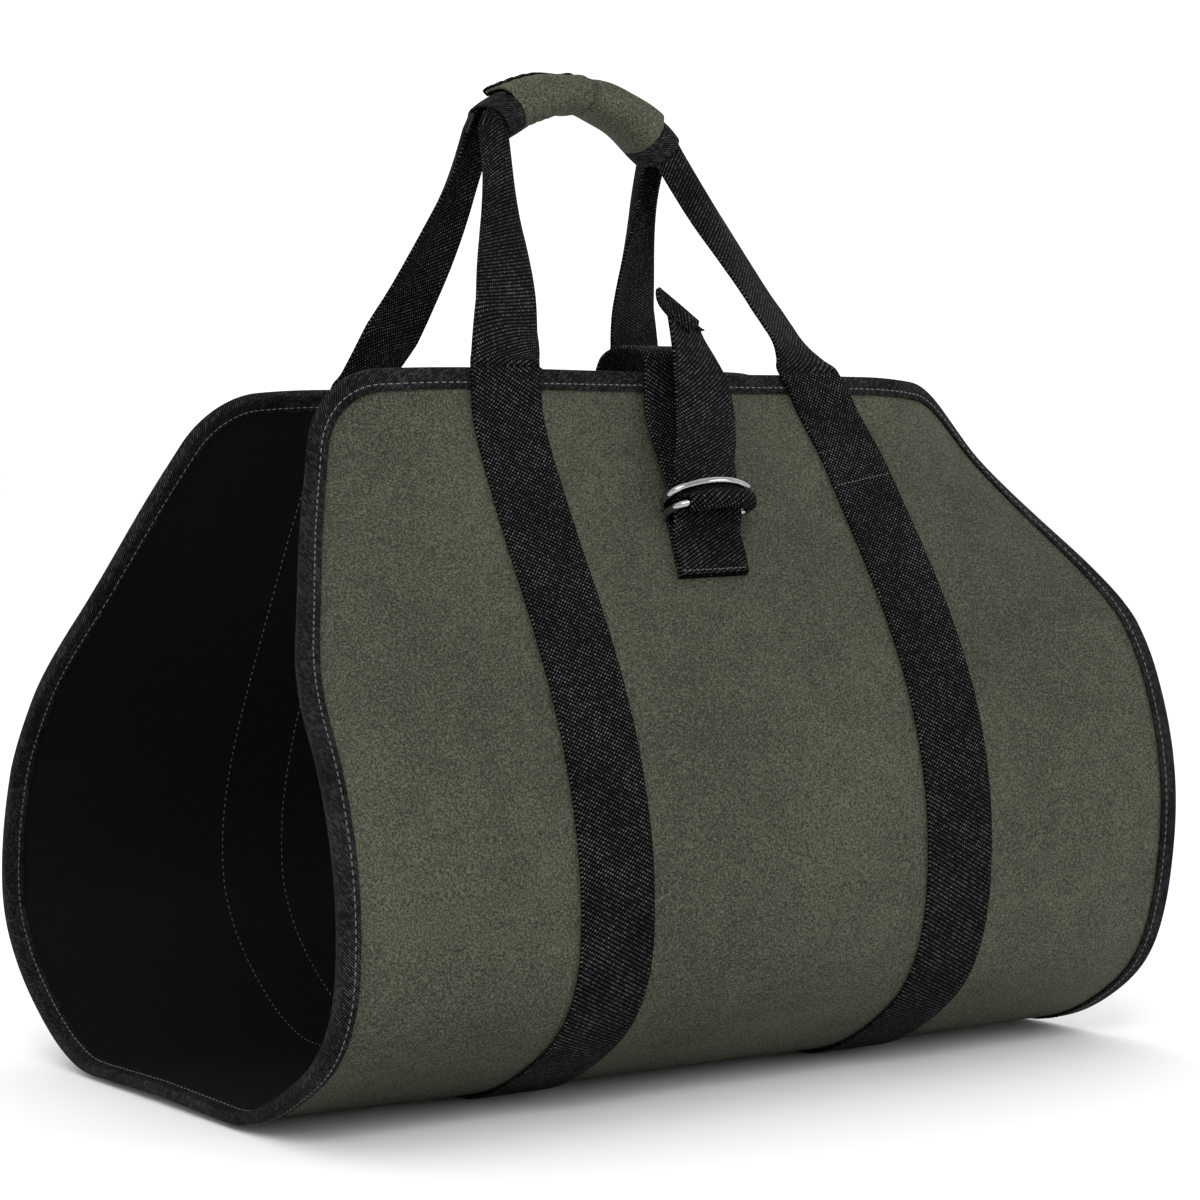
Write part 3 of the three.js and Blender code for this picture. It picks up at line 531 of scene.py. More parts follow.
def canvas_material(name, dark, middle, light):
    """Waxed olive canvas with clouded colour, fine grain and a dull sheen."""
    material, tree, shader, cloth, place = blank_material(name, 0.8)
    waxed = tree.nodes.new("ShaderNodeGroup")
    waxed.node_tree = WAXED
    tree.links.new(cloth, waxed.inputs["Cloth"])
    tree.links.new(place, waxed.inputs["Place"])
    cloud = math_node(tree, "MULTIPLY_ADD", waxed.outputs["Cloud"], 0.4, -0.78)
    value = math_node(tree, "MULTIPLY_ADD", waxed.outputs["Grain"], 2.0, cloud)
    stops = [(0.28, dark), (0.545, middle), (0.82, light)]
    tree.links.new(ramp(tree, value, stops), shader.inputs["Base Color"])
    shader.inputs["Specular IOR Level"].default_value = 0.12
    bump(tree, shader, waxed.outputs["Height"], 0.5, 0.0004)
    return material


def plain_cloth(name, colour, roughness, grain):
    """Plain dark cloth or thread, with a fine grain and soft wrinkling in its gloss."""
    material, tree, shader, _, place = blank_material(name, roughness)
    fine = noise_node(tree, place, grain, 3.0, 0.6)
    broad = noise_node(tree, place, 25.0, 4.0, 0.6)
    height = math_node(tree, "ADD", fine, math_node(tree, "MULTIPLY", broad, 3.0))
    light = [2.2 * v for v in colour]
    tree.links.new(ramp(tree, fine, [(0.3, colour), (0.8, light)]), shader.inputs["Base Color"])
    shader.inputs["Specular IOR Level"].default_value = 0.06
    bump(tree, shader, height, 0.35, 0.0005)
    return material


def metal_material(name):
    """Polished plating with faint clouding in its gloss."""
    material, tree, shader, _, place = blank_material(name, 0.1)
    shader.inputs["Metallic"].default_value = 1.0
    cloud = noise_node(tree, place, 160.0, 3.0)
    colour = ramp(tree, cloud, [(0.3, (0.3, 0.3, 0.305)), (0.8, (0.45, 0.45, 0.45))])
    tree.links.new(colour, shader.inputs["Base Color"])
    tree.links.new(math_node(tree, "MULTIPLY_ADD", cloud, 0.16, 0.04), shader.inputs["Roughness"])
    return material


BLACK = (0.0012, 0.0012, 0.0012)
# The light colour given to each tape is its painted highlight on the thread crowns
WEB = tape_material("black webbing", 0.0012, 0.001, 0.35, 0.0, (0.14, 0.14, 0.141), 0.9)
TWILL = tape_material("binding tape", 0.0011, 0.0013, 0.75, 1.0, (0.06, 0.06, 0.061), 0.7)
OLIVE = canvas_material(
    "waxed olive canvas", (0.02, 0.022, 0.014), (0.047, 0.05, 0.034), (0.096, 0.1, 0.071)
)
GRIP_OLIVE = canvas_material(
    "grip canvas", (0.02, 0.024, 0.013), (0.05, 0.056, 0.036), (0.11, 0.118, 0.08)
)
LINED = plain_cloth("coated lining", (0.0032, 0.0032, 0.0034), 0.7, 900.0)
THREAD = plain_cloth("grey thread", (0.09, 0.09, 0.086), 0.75, 1500.0)
BLACK_THREAD = plain_cloth("black thread", (0.008, 0.008, 0.008), 0.6, 1500.0)
PLATED = metal_material("polished plating")


# Sling: canvas, lining and the tape over their edge


def sheet_grid(low, high):
    """Flat places of a sheet of the sling between two lifts: rows run across the cloth from
    edge to edge, and crowd together at its rounded corners."""
    rows, columns = 321, 141
    crowding = 0.12
    inset = 0.6
    turn = np.linspace(-math.pi / 2, math.pi / 2, rows)
    even = turn / (math.pi / 2)
    reach = HALF_LENGTH * 0.9985
    along = reach * ((1 - crowding) * even + crowding * np.sin(turn) ** 3)
    across = np.linspace(-1, 1, columns)[None] * (half_width(along) - inset)[:, None]
    along = np.broadcast_to(along[:, None], across.shape)
    grid = cloth_point(across, along, (low + high) / 2)
    weave = np.stack([across, along], -1) * 0.001
    return grid, weave


grid, weave = sheet_grid(0, -CANVAS)
canvas = band("outer_canvas", grid, CANVAS, weave, OLIVE, ["outer_canvas"], 0.8)
grid, weave = sheet_grid(-CANVAS - GAP, -STACK)
lining = band("inner_lining", grid, LINING, weave, LINED, ["inner_lining"], 0.8)

edge, into, walked = flat_outline(2.0)
top = GAP + BINDING
bottom = -STACK - GAP - BINDING
fold = math.pi * np.linspace(0, 1, 9)
fold_reach = -GAP - BINDING * np.sin(fold) * 0.9
fold_lift = (top + bottom) / 2 + (top - bottom) / 2 * np.cos(fold)
distance = np.concatenate([
    [BINDING_WIDTH, BINDING_WIDTH - 0.25, 6, 3, 1], fold_reach,
    [1, 3, 6, BINDING_WIDTH - 0.25, BINDING_WIDTH],
    [BINDING_WIDTH - 0.2, 4, -GAP * 0.6, -GAP * 0.6, 4, BINDING_WIDTH - 0.2],
])
lift = np.concatenate([
    [top - 0.45, top, top, top, top], fold_lift,
    [bottom, bottom, bottom, bottom, bottom + 0.45],
    [bottom + BINDING, bottom + BINDING, bottom + BINDING, GAP, GAP, GAP],
])
pucker = 0.16 * np.sin(walked / 1.9) * np.sin(walked / 13.7 + 1)
spot = edge[:, None] + into[:, None] * distance[None, :, None]
swell = pucker[:, None] * np.clip(distance / BINDING_WIDTH, 0, 1) * np.sign(lift - (top + bottom) / 2)
rings = cloth_point(spot[..., 0], spot[..., 1], lift + swell)
around = around_section(distance, lift)
length = np.concatenate([walked, [walked[-1] + 2.0]])
weave = np.stack(np.meshgrid(length, around, indexing="ij"), -1) * 0.001
binding = skin("edge_binding", rings, weave, TWILL, ["edge_binding"], looped=True)


# Length and width of the stitches
BINDING_STITCH = (2.3, 0.6)
FINE_STITCH = (1.6, 0.45)
LINING_STITCH = (1.7, 0.5)
PATCH_STITCH = (1.9, 0.5)
SEAM_SHARE = 0.66


def seam(name, places, lift, stitch, material, facing=1.0):
    """Stitches along a line of flat places on the sling, on its outer or inner face."""
    across, along = places[:, 0], places[:, 1]
    here = cloth_point(across, along, lift)
    out = unit(cloth_point(across, along, lift + 1) - here) * facing
    ahead = np.gradient(here, axis=0)
    return stitches(name, here, ahead, out, *stitch, material)


edge, into, walked = flat_outline(3.4)
spot = edge + into * BINDING_WIDTH * SEAM_SHARE
seam("binding_stitches_outside", spot, top + 0.1, BINDING_STITCH, THREAD)
seam("binding_stitches_inside", spot, bottom - 0.1, BINDING_STITCH, THREAD, -1.0)


# Webbing sewn to the canvas


def strap_lift(along):
    """Height of the webbing's under side: on the canvas, then up over the binding."""
    start = HALF_LENGTH - BINDING_WIDTH
    return GAP + smoothstep(np.abs(along), start - STRAP_RAMP, start) * (BINDING + GAP)


STRAP_END = HALF_LENGTH + BINDING + 2 * GAP


def strap_centre(place, along):
    """Middle line of a strap: straight where it is sewn, then pulled aside by the square of the
    share of its free top."""
    side = "left" if place < 0 else "right"
    free = np.maximum(np.abs(along) - HALF_LENGTH + STRAP_FREE, 0) / STRAP_FREE
    lean = np.where(along < 0, STRAP_LEAN["front_" + side], STRAP_LEAN["back_" + side])
    return place + lean * free**2


def sling_strap(name, place):
    """Webbing along the sling: it follows its middle line, and its lift follows the layers."""
    places = lateral(WEBBING_WIDTH, 13)
    along = np.linspace(-STRAP_END, STRAP_END, 471)[:, None]
    grid = cloth_point(strap_centre(place, along) + places, along, strap_lift(along) + WEBBING / 2)
    return band(name, grid, WEBBING, tape_weave(grid, places), WEB, [name])


sling_strap("sling_strap_left", -STRAP_PLACE)
sling_strap("sling_strap_right", STRAP_PLACE)


# Grip

GRIP_SPAN = 104.0
GRIP_RISE = 18.5
GRIP_HALF_DEPTH = 14.0
GRIP_SQUARENESS = 2.3
GRIP_TURN = math.radians(6)
GRIP_TILT = math.radians(-4)
WRAP = 1.2
WRAP_STEP = 22.5
WRAP_END = 390.0
WRAP_START = WRAP_END - 360 - 2 * WRAP_STEP
BAND_LENGTH = 9.5
BAND_SHARE = BAND_LENGTH / GRIP_SPAN
WEBBING_SWEEP = 76
FLAP_LIFT = WRAP + BINDING + 2 * GAP
MOUTH = LEG_GAP / GRIP_SPAN
top_heights = cloth_point([0, 0], [HALF_LENGTH, -HALF_LENGTH], 0, False)[:, 2]
GRIP_HEIGHT = 114.0
GRIP_ASIDE = -6.9
GRIP_FORWARD = -5.0
GRIP_CENTRE = np.array([GRIP_ASIDE, GRIP_FORWARD, top_heights.mean() + GRIP_HEIGHT])

# Half height of the grip from its left mouth to its right one
GRIP_SHARE = [0, 0.12, 0.5, 0.88, 1]
GRIP_HALF_HEIGHT = [9.8, 10.2, 7.8, 10.6, 10.3]


def grip_frame(share):
    """Arched axis of the grip: a parabola over a tilted chord. Gives place, front and up."""
    share = np.asarray(share, float)[..., None]
    level = math.cos(GRIP_TILT)
    chord = np.array([math.cos(GRIP_TURN) * level, math.sin(GRIP_TURN) * level, math.sin(GRIP_TILT)])
    front = np.array([math.sin(GRIP_TURN), -math.cos(GRIP_TURN), 0])
    over = unit(np.cross(front, chord))
    arch = over * 4 * GRIP_RISE
    centre = GRIP_CENTRE + chord * (share - 0.5) * GRIP_SPAN + arch * share * (1 - share)
    ahead = unit(chord * GRIP_SPAN + arch * (1 - 2 * share))
    return centre, front, unit(np.cross(front, ahead))


def grip_point(share, angle, lift):
    """Skin of the grip: a flattened oval round its axis, angles in degrees from its top
    towards the back, lifted off its face."""
    share, angle, lift = np.broadcast_arrays(share, np.asarray(angle, float), lift)
    centre, front, up = grip_frame(share)
    power = 2 / GRIP_SQUARENESS
    sine, cosine = np.sin(np.radians(angle)), np.cos(np.radians(angle))
    half = table(share, GRIP_SHARE, GRIP_HALF_HEIGHT)
    high = (half + lift) * np.sign(cosine) * np.abs(cosine) ** power
    deep = (GRIP_HALF_DEPTH + lift) * np.sign(sine) * np.abs(sine) ** power
    return centre + up * high[..., None] - front * deep[..., None]


def grip_crumple(share, angle):
    """Creases of the grip: a ridge and a sharp valley across its middle, slanting gathers by
    the left band, and soft swells."""
    lean = 0.02 * np.cos(np.radians(angle))
    ridge = 1.3 * np.exp(-(((share - 0.46 - lean) / 0.04) ** 2))
    valley = -2.7 * np.exp(-(((share - 0.51 - lean) / 0.018) ** 2))
    gather = 0.5 * smoothstep(-share, -0.36, -0.12) * np.sin(share * 120 + np.radians(angle) * 1.5)
    soft = 0.35 * np.sin(share * 23 + np.radians(angle) * 2 + 0.6)
    past_left = smoothstep(share, BAND_SHARE, BAND_SHARE + 0.05)
    before_right = smoothstep(-share, BAND_SHARE - 1, BAND_SHARE - 0.95)
    return (ridge + valley + gather + soft - 0.5) * past_left * before_right


def webbing_in_grip(front, share, spread):
    """Handle webbing cupped inside the front or the back half of the grip."""
    angle = 90 + spread * WEBBING_SWEEP
    angle = -angle if front else angle
    return grip_point(share, angle, grip_crumple(share, angle) - (WRAP + GAP + WEBBING / 2))


# Turn of each leg in degrees and how far it is folded, over its shares from foot to grip
LEG_PLACES = [0, 0.1, 0.3, 0.5, 0.8, 1]
LEG_TWIST = {
    "front_left": [0, 0, 0, 0, 0, 0], "front_right": [0, 21, 27, 24, 10, 0],
    "back_left": [0, 6, 9, 8, 6, 0], "back_right": [0, 1, 2, 3, 5, 0],
}
FOLD_PLACES = [0, 0.2, 0.35, 0.5, 0.65, 0.8, 1]
LEG_FOLD = {
    "front_left": [0, 0.04, 0.12, 0.36, 0.68, 0.96, 1], "front_right": [0, 0, 0.08, 0.2, 0.42, 0.72, 1],
    "back_left": [0, 0.04, 0.19, 0.36, 0.57, 0.86, 1], "back_right": [0, 0, 0.1, 0.38, 0.68, 1, 1],
}
LEG_BOW = {"front_left": 3.0, "front_right": -1.5, "back_left": 6.0, "back_right": -4.5}
LEG_LEVEL = 0.2


def handle_leg(front, left, places):
    """One leg from the top edge to the grip: a line with a slight bow. The flat section of the
    webbing eases out of the strap below, and into the cupped one that it has in the grip."""
    name = ("front_" if front else "back_") + ("left" if left else "right")
    facing = -1.0 if front else 1.0
    spread = places / (WEBBING_WIDTH / 2)
    sewn = -STRAP_PLACE if left else STRAP_PLACE
    start = facing * STRAP_END
    place = float(strap_centre(sewn, start))
    lift = strap_lift(start) + WEBBING / 2
    foot, above, aside = cloth_point([place, place, place + 1], [start, start + facing, start], lift)
    foot_turn = math.atan2((aside - foot)[1], (aside - foot)[0])
    share = -MOUTH if left else 1 + MOUTH
    _, grip_front, grip_up = grip_frame(share)
    gathered = webbing_in_grip(front, share, spread)
    mouth = webbing_in_grip(front, share, np.linspace(-1, 1, 7)).mean(0)
    offset = gathered - mouth
    folded_in = -offset @ grip_up
    folded_deep = offset @ grip_front * -facing
    t = np.linspace(0, 1, 80)[:-1, None]
    bow = np.array([4 * LEG_BOW[name], 0, 0])
    path = foot * (1 - t) + mouth * t + bow * t * (1 - t)
    level = np.minimum(t / LEG_LEVEL, 1)
    tangent = unit(unit(above - foot) * (1 - level) + unit(mouth - foot + bow * (1 - 2 * t)) * level)
    turn = foot_turn * (1 - t) + GRIP_TURN * t + np.radians(table(t, LEG_PLACES, LEG_TWIST[name]))
    out = np.concatenate([-facing * np.sin(turn), facing * np.cos(turn), 0 * turn], -1)
    out = unit(out - tangent * dot(out, tangent))
    inner = np.cross(tangent, out) * -facing * (1 if left else -1)
    fold = table(t, FOLD_PLACES, LEG_FOLD[name])
    wide = places * (1 - fold) + folded_in * fold
    deep = folded_deep * fold
    leg = path[:, None] + inner[:, None] * wide[..., None] + out[:, None] * deep[..., None]
    run = start + facing * t * np.linalg.norm(mouth - foot)
    strap = cloth_point(strap_centre(sewn, run) + places * (1 if left else -1), run, lift)
    ease = smoothstep(t, 0, 0.05)[..., None]
    return strap * (1 - ease) + leg * ease


def handle(name, front):
    """Handle webbing: up one leg, through the grip and down the other."""
    places = lateral(WEBBING_WIDTH, 17)
    spread = places / (WEBBING_WIDTH / 2)
    share = np.linspace(-MOUTH, 1 + MOUTH, 50)[:, None]
    inside = webbing_in_grip(front, share, spread[None])
    grid = np.concatenate([
        handle_leg(front, True, places), inside, handle_leg(front, False, places)[::-1],
    ])
    return band(name, grid, WEBBING, tape_weave(grid, places), WEB, [name])


handle("front_handle", True)
handle("back_handle", False)


def grip_band(name, left):
    """Tape wound round an end of the grip, a little barrelled."""
    rows = 13
    step = 4.0
    share = np.linspace(0, BAND_SHARE, rows)
    share = share if left else 1 - share
    angle = np.arange(0, 360, step)
    swell = 0.25 * np.sin(np.linspace(0, math.pi, rows))
    lifts = np.concatenate([swell, swell[::-1] - WRAP])
    shares = np.concatenate([share, share[::-1]])
    rings = grip_point(shares[None], angle[:, None], lifts[None])
    around = np.radians(np.arange(len(angle) + 1) * step) * 12
    across = np.arange(2 * rows + 1) * 0.8
    weave = np.stack(np.meshgrid(around, across, indexing="ij"), -1) * 0.001
    return skin(name, rings, weave, TWILL, [name], looped=True)


grip_band("grip_band_left", True)
grip_band("grip_band_right", False)


def wrap_lift(angle):
    """The flap rises to lie over the start of its own roll."""
    start = WRAP_END - 2 * WRAP_STEP
    return FLAP_LIFT * smoothstep(angle, start - 2 * WRAP_STEP, start)


wrap_from = BAND_SHARE + GAP / GRIP_SPAN
wrap_shares = np.linspace(wrap_from, 1 - wrap_from, 150)[:, None]
wrap_angles = np.linspace(WRAP_START, WRAP_END, 210)[None]
crumple = grip_crumple(wrap_shares, wrap_angles)
grid = grip_point(wrap_shares, wrap_angles, wrap_lift(wrap_angles) - WRAP / 2 + crumple)
weave = np.stack(np.broadcast_arrays(wrap_shares * GRIP_SPAN, wrap_angles * 0.24), -1) * 0.001
wrap = band("grip_wrap", grid, WRAP, weave, GRIP_OLIVE, ["grip_wrap"], 0.8)

flap_degrees = 180 / (math.pi * GRIP_HALF_DEPTH)
flap_top = FLAP_LIFT + GAP + BINDING
flap_bottom = FLAP_LIFT - WRAP - GAP - BINDING
flap_width = WRAP_STEP / flap_degrees
flap_fold = (flap_top + flap_bottom) / 2 + (flap_top - flap_bottom) / 2 * np.cos(fold)
distance = np.concatenate([
    [flap_width, flap_width - 0.3, 2.5], -GAP - BINDING * np.sin(fold) * 0.9,
    [2.5, flap_width - 0.3, flap_width], [flap_width - 0.2, -GAP * 0.6, -GAP * 0.6, flap_width - 0.2],
])
lift = np.concatenate([
    [flap_top - 0.5, flap_top, flap_top], flap_fold,
    [flap_bottom, flap_bottom, flap_bottom + 0.5],
    [flap_bottom + BINDING, flap_bottom + BINDING, FLAP_LIFT + GAP, FLAP_LIFT + GAP],
])
flap_angles = (WRAP_END - distance * flap_degrees)[None]
rings = grip_point(wrap_shares, flap_angles, lift[None] + grip_crumple(wrap_shares, flap_angles))
around = around_section(distance, lift)
weave = np.stack(np.meshgrid(wrap_shares[:, 0] * GRIP_SPAN, around, indexing="ij"), -1) * 0.001
skin("grip_flap_binding", rings, weave, TWILL, ["grip_flap_binding"])


# Rings, their loop and the closure strap

RING_WIRE = 3.6
RING_INNER_WIDTH = 42.0
RING_HALF = (RING_INNER_WIDTH + RING_WIRE) / 2
RING_DEPTH = 16.4
RING_RADIUS = 38.0
RING_SPACING = 5.3
RING_TILT = math.radians(7)
RING_CLEAR = RING_WIRE / 2 + GAP + WEBBING / 2
RING_DROP = 68.5
UPPER_BAR = HALF_LENGTH - RING_DROP
BAR_LIFT = 2 * GAP + WEBBING + RING_WIRE / 2
CLOSURE_PLACE = -6.0
LOOP_LENGTH = 36.5
LOOP_SLANT = 6.0
CLOSURE_STITCH = 44.0
CLOSURE_CUP = 57
CLOSURE_SAG = 12
BRIDGE_HEIGHT = 20
BRIDGE_TWIST = 7
TAIL_HEIGHT = 90
TAIL_FORWARD = 41
TAIL_FOOT = RING_DROP * 0.77
HEM_ROWS = 18
TIP_ROLL = 3.2
ROLL_LENGTH = 9


def ring_frame(upper):
    """Place of a ring's bar and its directions: across, out of the cloth, up, and its reach."""
    along = -(UPPER_BAR if upper else UPPER_BAR - RING_SPACING)
    bar, beside, above = cloth_point(
        [CLOSURE_PLACE, CLOSURE_PLACE + 1, CLOSURE_PLACE], along,
        [BAR_LIFT, BAR_LIFT, BAR_LIFT + 1], False,
    )
    across, out = unit(beside - bar), unit(above - bar)
    up = np.cross(out, across)
    tilt = RING_TILT if upper else -RING_TILT
    return bar, across, out, up, out * math.cos(tilt) + up * math.sin(tilt)


def quadratic(start, control, end, count):
    """Points of a parabola arc from its three points, without the last."""
    t = np.linspace(0, 1, count, endpoint=False)[:, None]
    return start * (1 - t) ** 2 + control * 2 * t * (1 - t) + end * t * t


def ring_outline(count):
    """Closed D walked evenly: straight bar, round corners, leaning sides and a front arc."""
    corner = RING_HALF * 0.15
    front_half = RING_HALF * 0.82
    arc_centre = RING_DEPTH - RING_RADIUS
    front_angle = math.asin(front_half / RING_RADIUS)
    front_depth = arc_centre + RING_RADIUS * math.cos(front_angle)
    meet = front_depth - (RING_HALF - front_half) * math.tan(front_angle)
    arc = np.linspace(front_angle, 0, 40)
    right = np.concatenate([
        [[0, 0]],
        quadratic(*np.array([[RING_HALF - corner, 0], [RING_HALF, 0], [RING_HALF, corner]], float), 12),
        quadratic(*np.array([[RING_HALF, corner], [RING_HALF, meet], [front_half, front_depth]]), 24),
        np.stack([RING_RADIUS * np.sin(arc), arc_centre + RING_RADIUS * np.cos(arc)], -1),
    ])
    whole = np.concatenate([right, (right * [-1, 1])[-2::-1]])
    length = distances(whole)
    walked = np.arange(count) * length[-1] / count
    return np.stack([np.interp(walked, length, whole[:, k]) for k in (0, 1)], -1)


def d_ring(name, upper):
    """Bent wire: a circle of wire radius carried round the D outline."""
    bar, across, _, _, reach = ring_frame(upper)
    flat = ring_outline(220)
    ahead = np.roll(flat, -1, 0) - np.roll(flat, 1, 0)
    ahead = unit(np.roll(ahead, 2, 0) + ahead + np.roll(ahead, -2, 0))
    outside = across * ahead[:, 1:] - reach * ahead[:, :1]
    centre = bar + across * flat[:, :1] + reach * flat[:, 1:]
    turn = np.arange(20) * math.pi / 10
    wire = RING_WIRE / 2
    rings = (centre[:, None] + outside[:, None] * (np.cos(turn) * wire)[None, :, None]
             + np.cross(across, reach) * (np.sin(turn) * wire)[None, :, None])
    weave = np.stack(np.meshgrid(np.arange(221) * 0.0005, np.arange(21) * 0.0006, indexing="ij"), -1)
    return skin(name, rings, weave, PLATED, [name], looped=True)


d_ring("d_ring_upper", True)
d_ring("d_ring_lower", False)


def resample(stations, count):
    """Stations walked evenly along the smooth curve through their places."""
    knots = distances(stations[:, :3])
    fine = table(np.linspace(0, knots[-1], 4 * count), knots, stations)
    length = distances(fine[:, :3])
    walked = np.linspace(0, length[-1], count)
    return np.stack([np.interp(walked, length, fine[:, k]) for k in range(stations.shape[1])], -1)


def ring_loop():
    """Loop of webbing round both bars: up the front, over the bars and back behind them."""
    back = GAP + WEBBING / 2
    front = back + WEBBING + GAP
    over = BAR_LIFT + RING_CLEAR
    start = LOOP_LENGTH - RING_SPACING - 2.5 * RING_WIRE
    turn = np.linspace(0, math.pi, 9)[1:]
    up = np.concatenate([[0, start * 0.5, start, LOOP_LENGTH - RING_SPACING - RING_WIRE / 2, LOOP_LENGTH],
                         LOOP_LENGTH + RING_CLEAR * np.sin(turn), [start, start * 0.5, 0]])
    lift = np.concatenate([[front, front, front, over, over],
                           BAR_LIFT + RING_CLEAR * np.cos(turn), [back, back, back]])
    route = resample(np.stack([up, lift, 0 * up], -1), 150)
    up, lift = route[:, :1], route[:, 1:2]
    places = lateral(WEBBING_WIDTH, 13)
    slant = LOOP_SLANT * (up / LOOP_LENGTH - 1)
    grid = cloth_point(CLOSURE_PLACE + slant + places, LOOP_LENGTH - up - UPPER_BAR, lift, False)
    return band("ring_loop", grid, WEBBING, tape_weave(grid, places), WEB, ["ring_loop"])


ring_loop()

# Bridge over the mouth: share of the way to the front panel, and rise in bridge heights
BRIDGE = [(0.08, 0.1), (0.3, -0.8), (0.55, -1), (0.7, -0.45), (0.78, 0.45), (0.87, 0.62)]

# Free tail: rise and reach forward as shares, place aside in webbing widths, twist and lean
TAIL = [
    (0.11, 0.86, -0.1, 6, 0), (0.24, 0.72, 0.03, 8, 0), (0.4, 0.5, 0.18, 10, 0),
    (0.57, 0.34, 0.22, 16, 0), (0.68, 0.25, 0.19, 25, 0), (0.78, 0.2, 0.13, 31, 4),
    (0.86, 0.22, 0.05, 32, 10), (0.91, 0.32, -0.06, 28, 17), (0.93, 0.45, -0.2, 24, 22),
]


def closure_stations():
    """Stations of the closure strap: place, direction of its width, direction in which its
    edges bend, and how far they do."""
    rearward = np.array([0.0, 1.0, 0.0])
    stations = []

    def on_cloth(place, along, lift, cup):
        at, beside = cloth_point([place, place + 1], along, lift, False)
        stations.append(np.concatenate([at, unit(beside - at), rearward, [cup]]))

    def in_air(at, twist, lean, cup):
        turn, fall = math.radians(twist), math.radians(lean)
        level = math.cos(fall)
        across = [math.cos(turn) * level, math.sin(turn) * level, -math.sin(fall)]
        stations.append(np.concatenate([at, across, rearward, [cup]]))

    for past in (-CLOSURE_STITCH, -BINDING_WIDTH - STRAP_RAMP, -BINDING_WIDTH, 0, STRAP_RAMP / 2):
        along = HALF_LENGTH + past
        on_cloth(0, along, strap_lift(along) + WEBBING / 2, 0)
    back_top, front_top = cloth_point([0, 0], [HALF_LENGTH, -HALF_LENGTH], 0, False)
    for span, rise in BRIDGE:
        at = back_top * (1 - span) + front_top * span + [0, 0, rise * BRIDGE_HEIGHT]
        in_air(at, BRIDGE_TWIST, 0, 0)
    for share in (-0.1, 0.08, 0.3, 0.55):
        along = HALF_LENGTH + (UPPER_BAR - HALF_LENGTH) * share
        away = strap_lift(along) + WEBBING + LEG_GAP + CLOSURE_SAG * share**2
        on_cloth(CLOSURE_PLACE * share, -along, away, max(share, 0))
    upper, lower = ring_frame(True), ring_frame(False)
    upper_wire = upper[0] + upper[4] * RING_DEPTH
    lower_wire = lower[0] + lower[4] * RING_DEPTH
    wrap = RING_CLEAR + GAP

    def through(ring, wire, angle, behind, cup):
        at = wire - ring[2] * wrap * behind * math.cos(angle) - ring[3] * wrap * math.sin(angle)
        stations.append(np.concatenate([at, ring[1], -ring[4], [cup]]))

    cross = math.asin(2 * wrap / np.linalg.norm(upper_wire - lower_wire))
    through(upper, upper_wire, 0, 2, 0.9)
    for k in range(6):
        through(lower, lower_wire, (math.pi + cross) * k / 5, 1, 1)
    through(upper, upper_wire, cross, 1.5, 1)
    foot = front_top[2] - TAIL_FOOT
    for rise, forward, aside, twist, lean in TAIL:
        ahead = front_top[1] - forward * TAIL_FORWARD
        at = np.array([aside * WEBBING_WIDTH, ahead, foot + rise * TAIL_HEIGHT])
        in_air(at, twist, lean, 0.8 * (1 - rise))
    return np.array(stations)


def closure_strap():
    """Webbing carried through its stations, each section an arc of its cup angle. Its tip is
    rolled over half a circle into a hem that closes towards its stitched end."""
    route = resample(closure_stations(), 420)
    places = lateral(WEBBING_WIDTH, 13)
    cup = np.maximum(np.radians(CLOSURE_CUP) * route[:, 9:], 1e-3)
    radius = WEBBING_WIDTH / cup
    angle = places[None] / radius
    grid = (route[:, None, :3] + unit(route[:, None, 3:6]) * (radius * np.sin(angle))[..., None]
            + unit(route[:, None, 6:9]) * (radius * (1 - np.cos(angle)))[..., None])
    centre = grid[:, len(places) // 2, None]
    to_tip = np.linalg.norm(centre - centre[-1], axis=-1)[..., None]
    hem = grid[-HEM_ROWS:]
    face = normals_of(hem)
    ahead = unit(hem[-1] - hem[-2])
    turn = np.linspace(0, math.pi, 9)[1:-1, None, None]
    bent = hem[-1] + ahead * TIP_ROLL * np.sin(turn) + face[-1] * TIP_ROLL * (1 - np.cos(turn))
    near_tip = smoothstep(-to_tip[-HEM_ROWS:], -ROLL_LENGTH, 0) ** 2
    apart = 1.1 * WEBBING + (2 * TIP_ROLL - 1.1 * WEBBING) * near_tip
    grid = np.concatenate([grid, bent, (hem + face * apart)[::-1]])
    return band("closure_strap", grid, WEBBING, tape_weave(grid, places), WEB, ["closure_strap"])


closure_strap()


# Seams through the webbing

SEWN = HALF_LENGTH - STRAP_FREE
CROSS_HALF = 17.5
BOX_HALF = 17.0
BOX_ABOVE = 20
BOX_BELOW = 12
SEAM_FOOT = 20
FINE_PITCH = 2.3
LINING_PITCH = 3.6
INNER_FACE = -STACK - 0.1


def line(start, end, pitch):
    """Evenly pitched flat places from one point to another, without the ends."""
    start, end = np.asarray(start, float), np.asarray(end, float)
    count = max(int(np.linalg.norm(end - start) / pitch), 2)
    return start + (end - start) * ((np.arange(count) + 0.5) / count)[:, None]


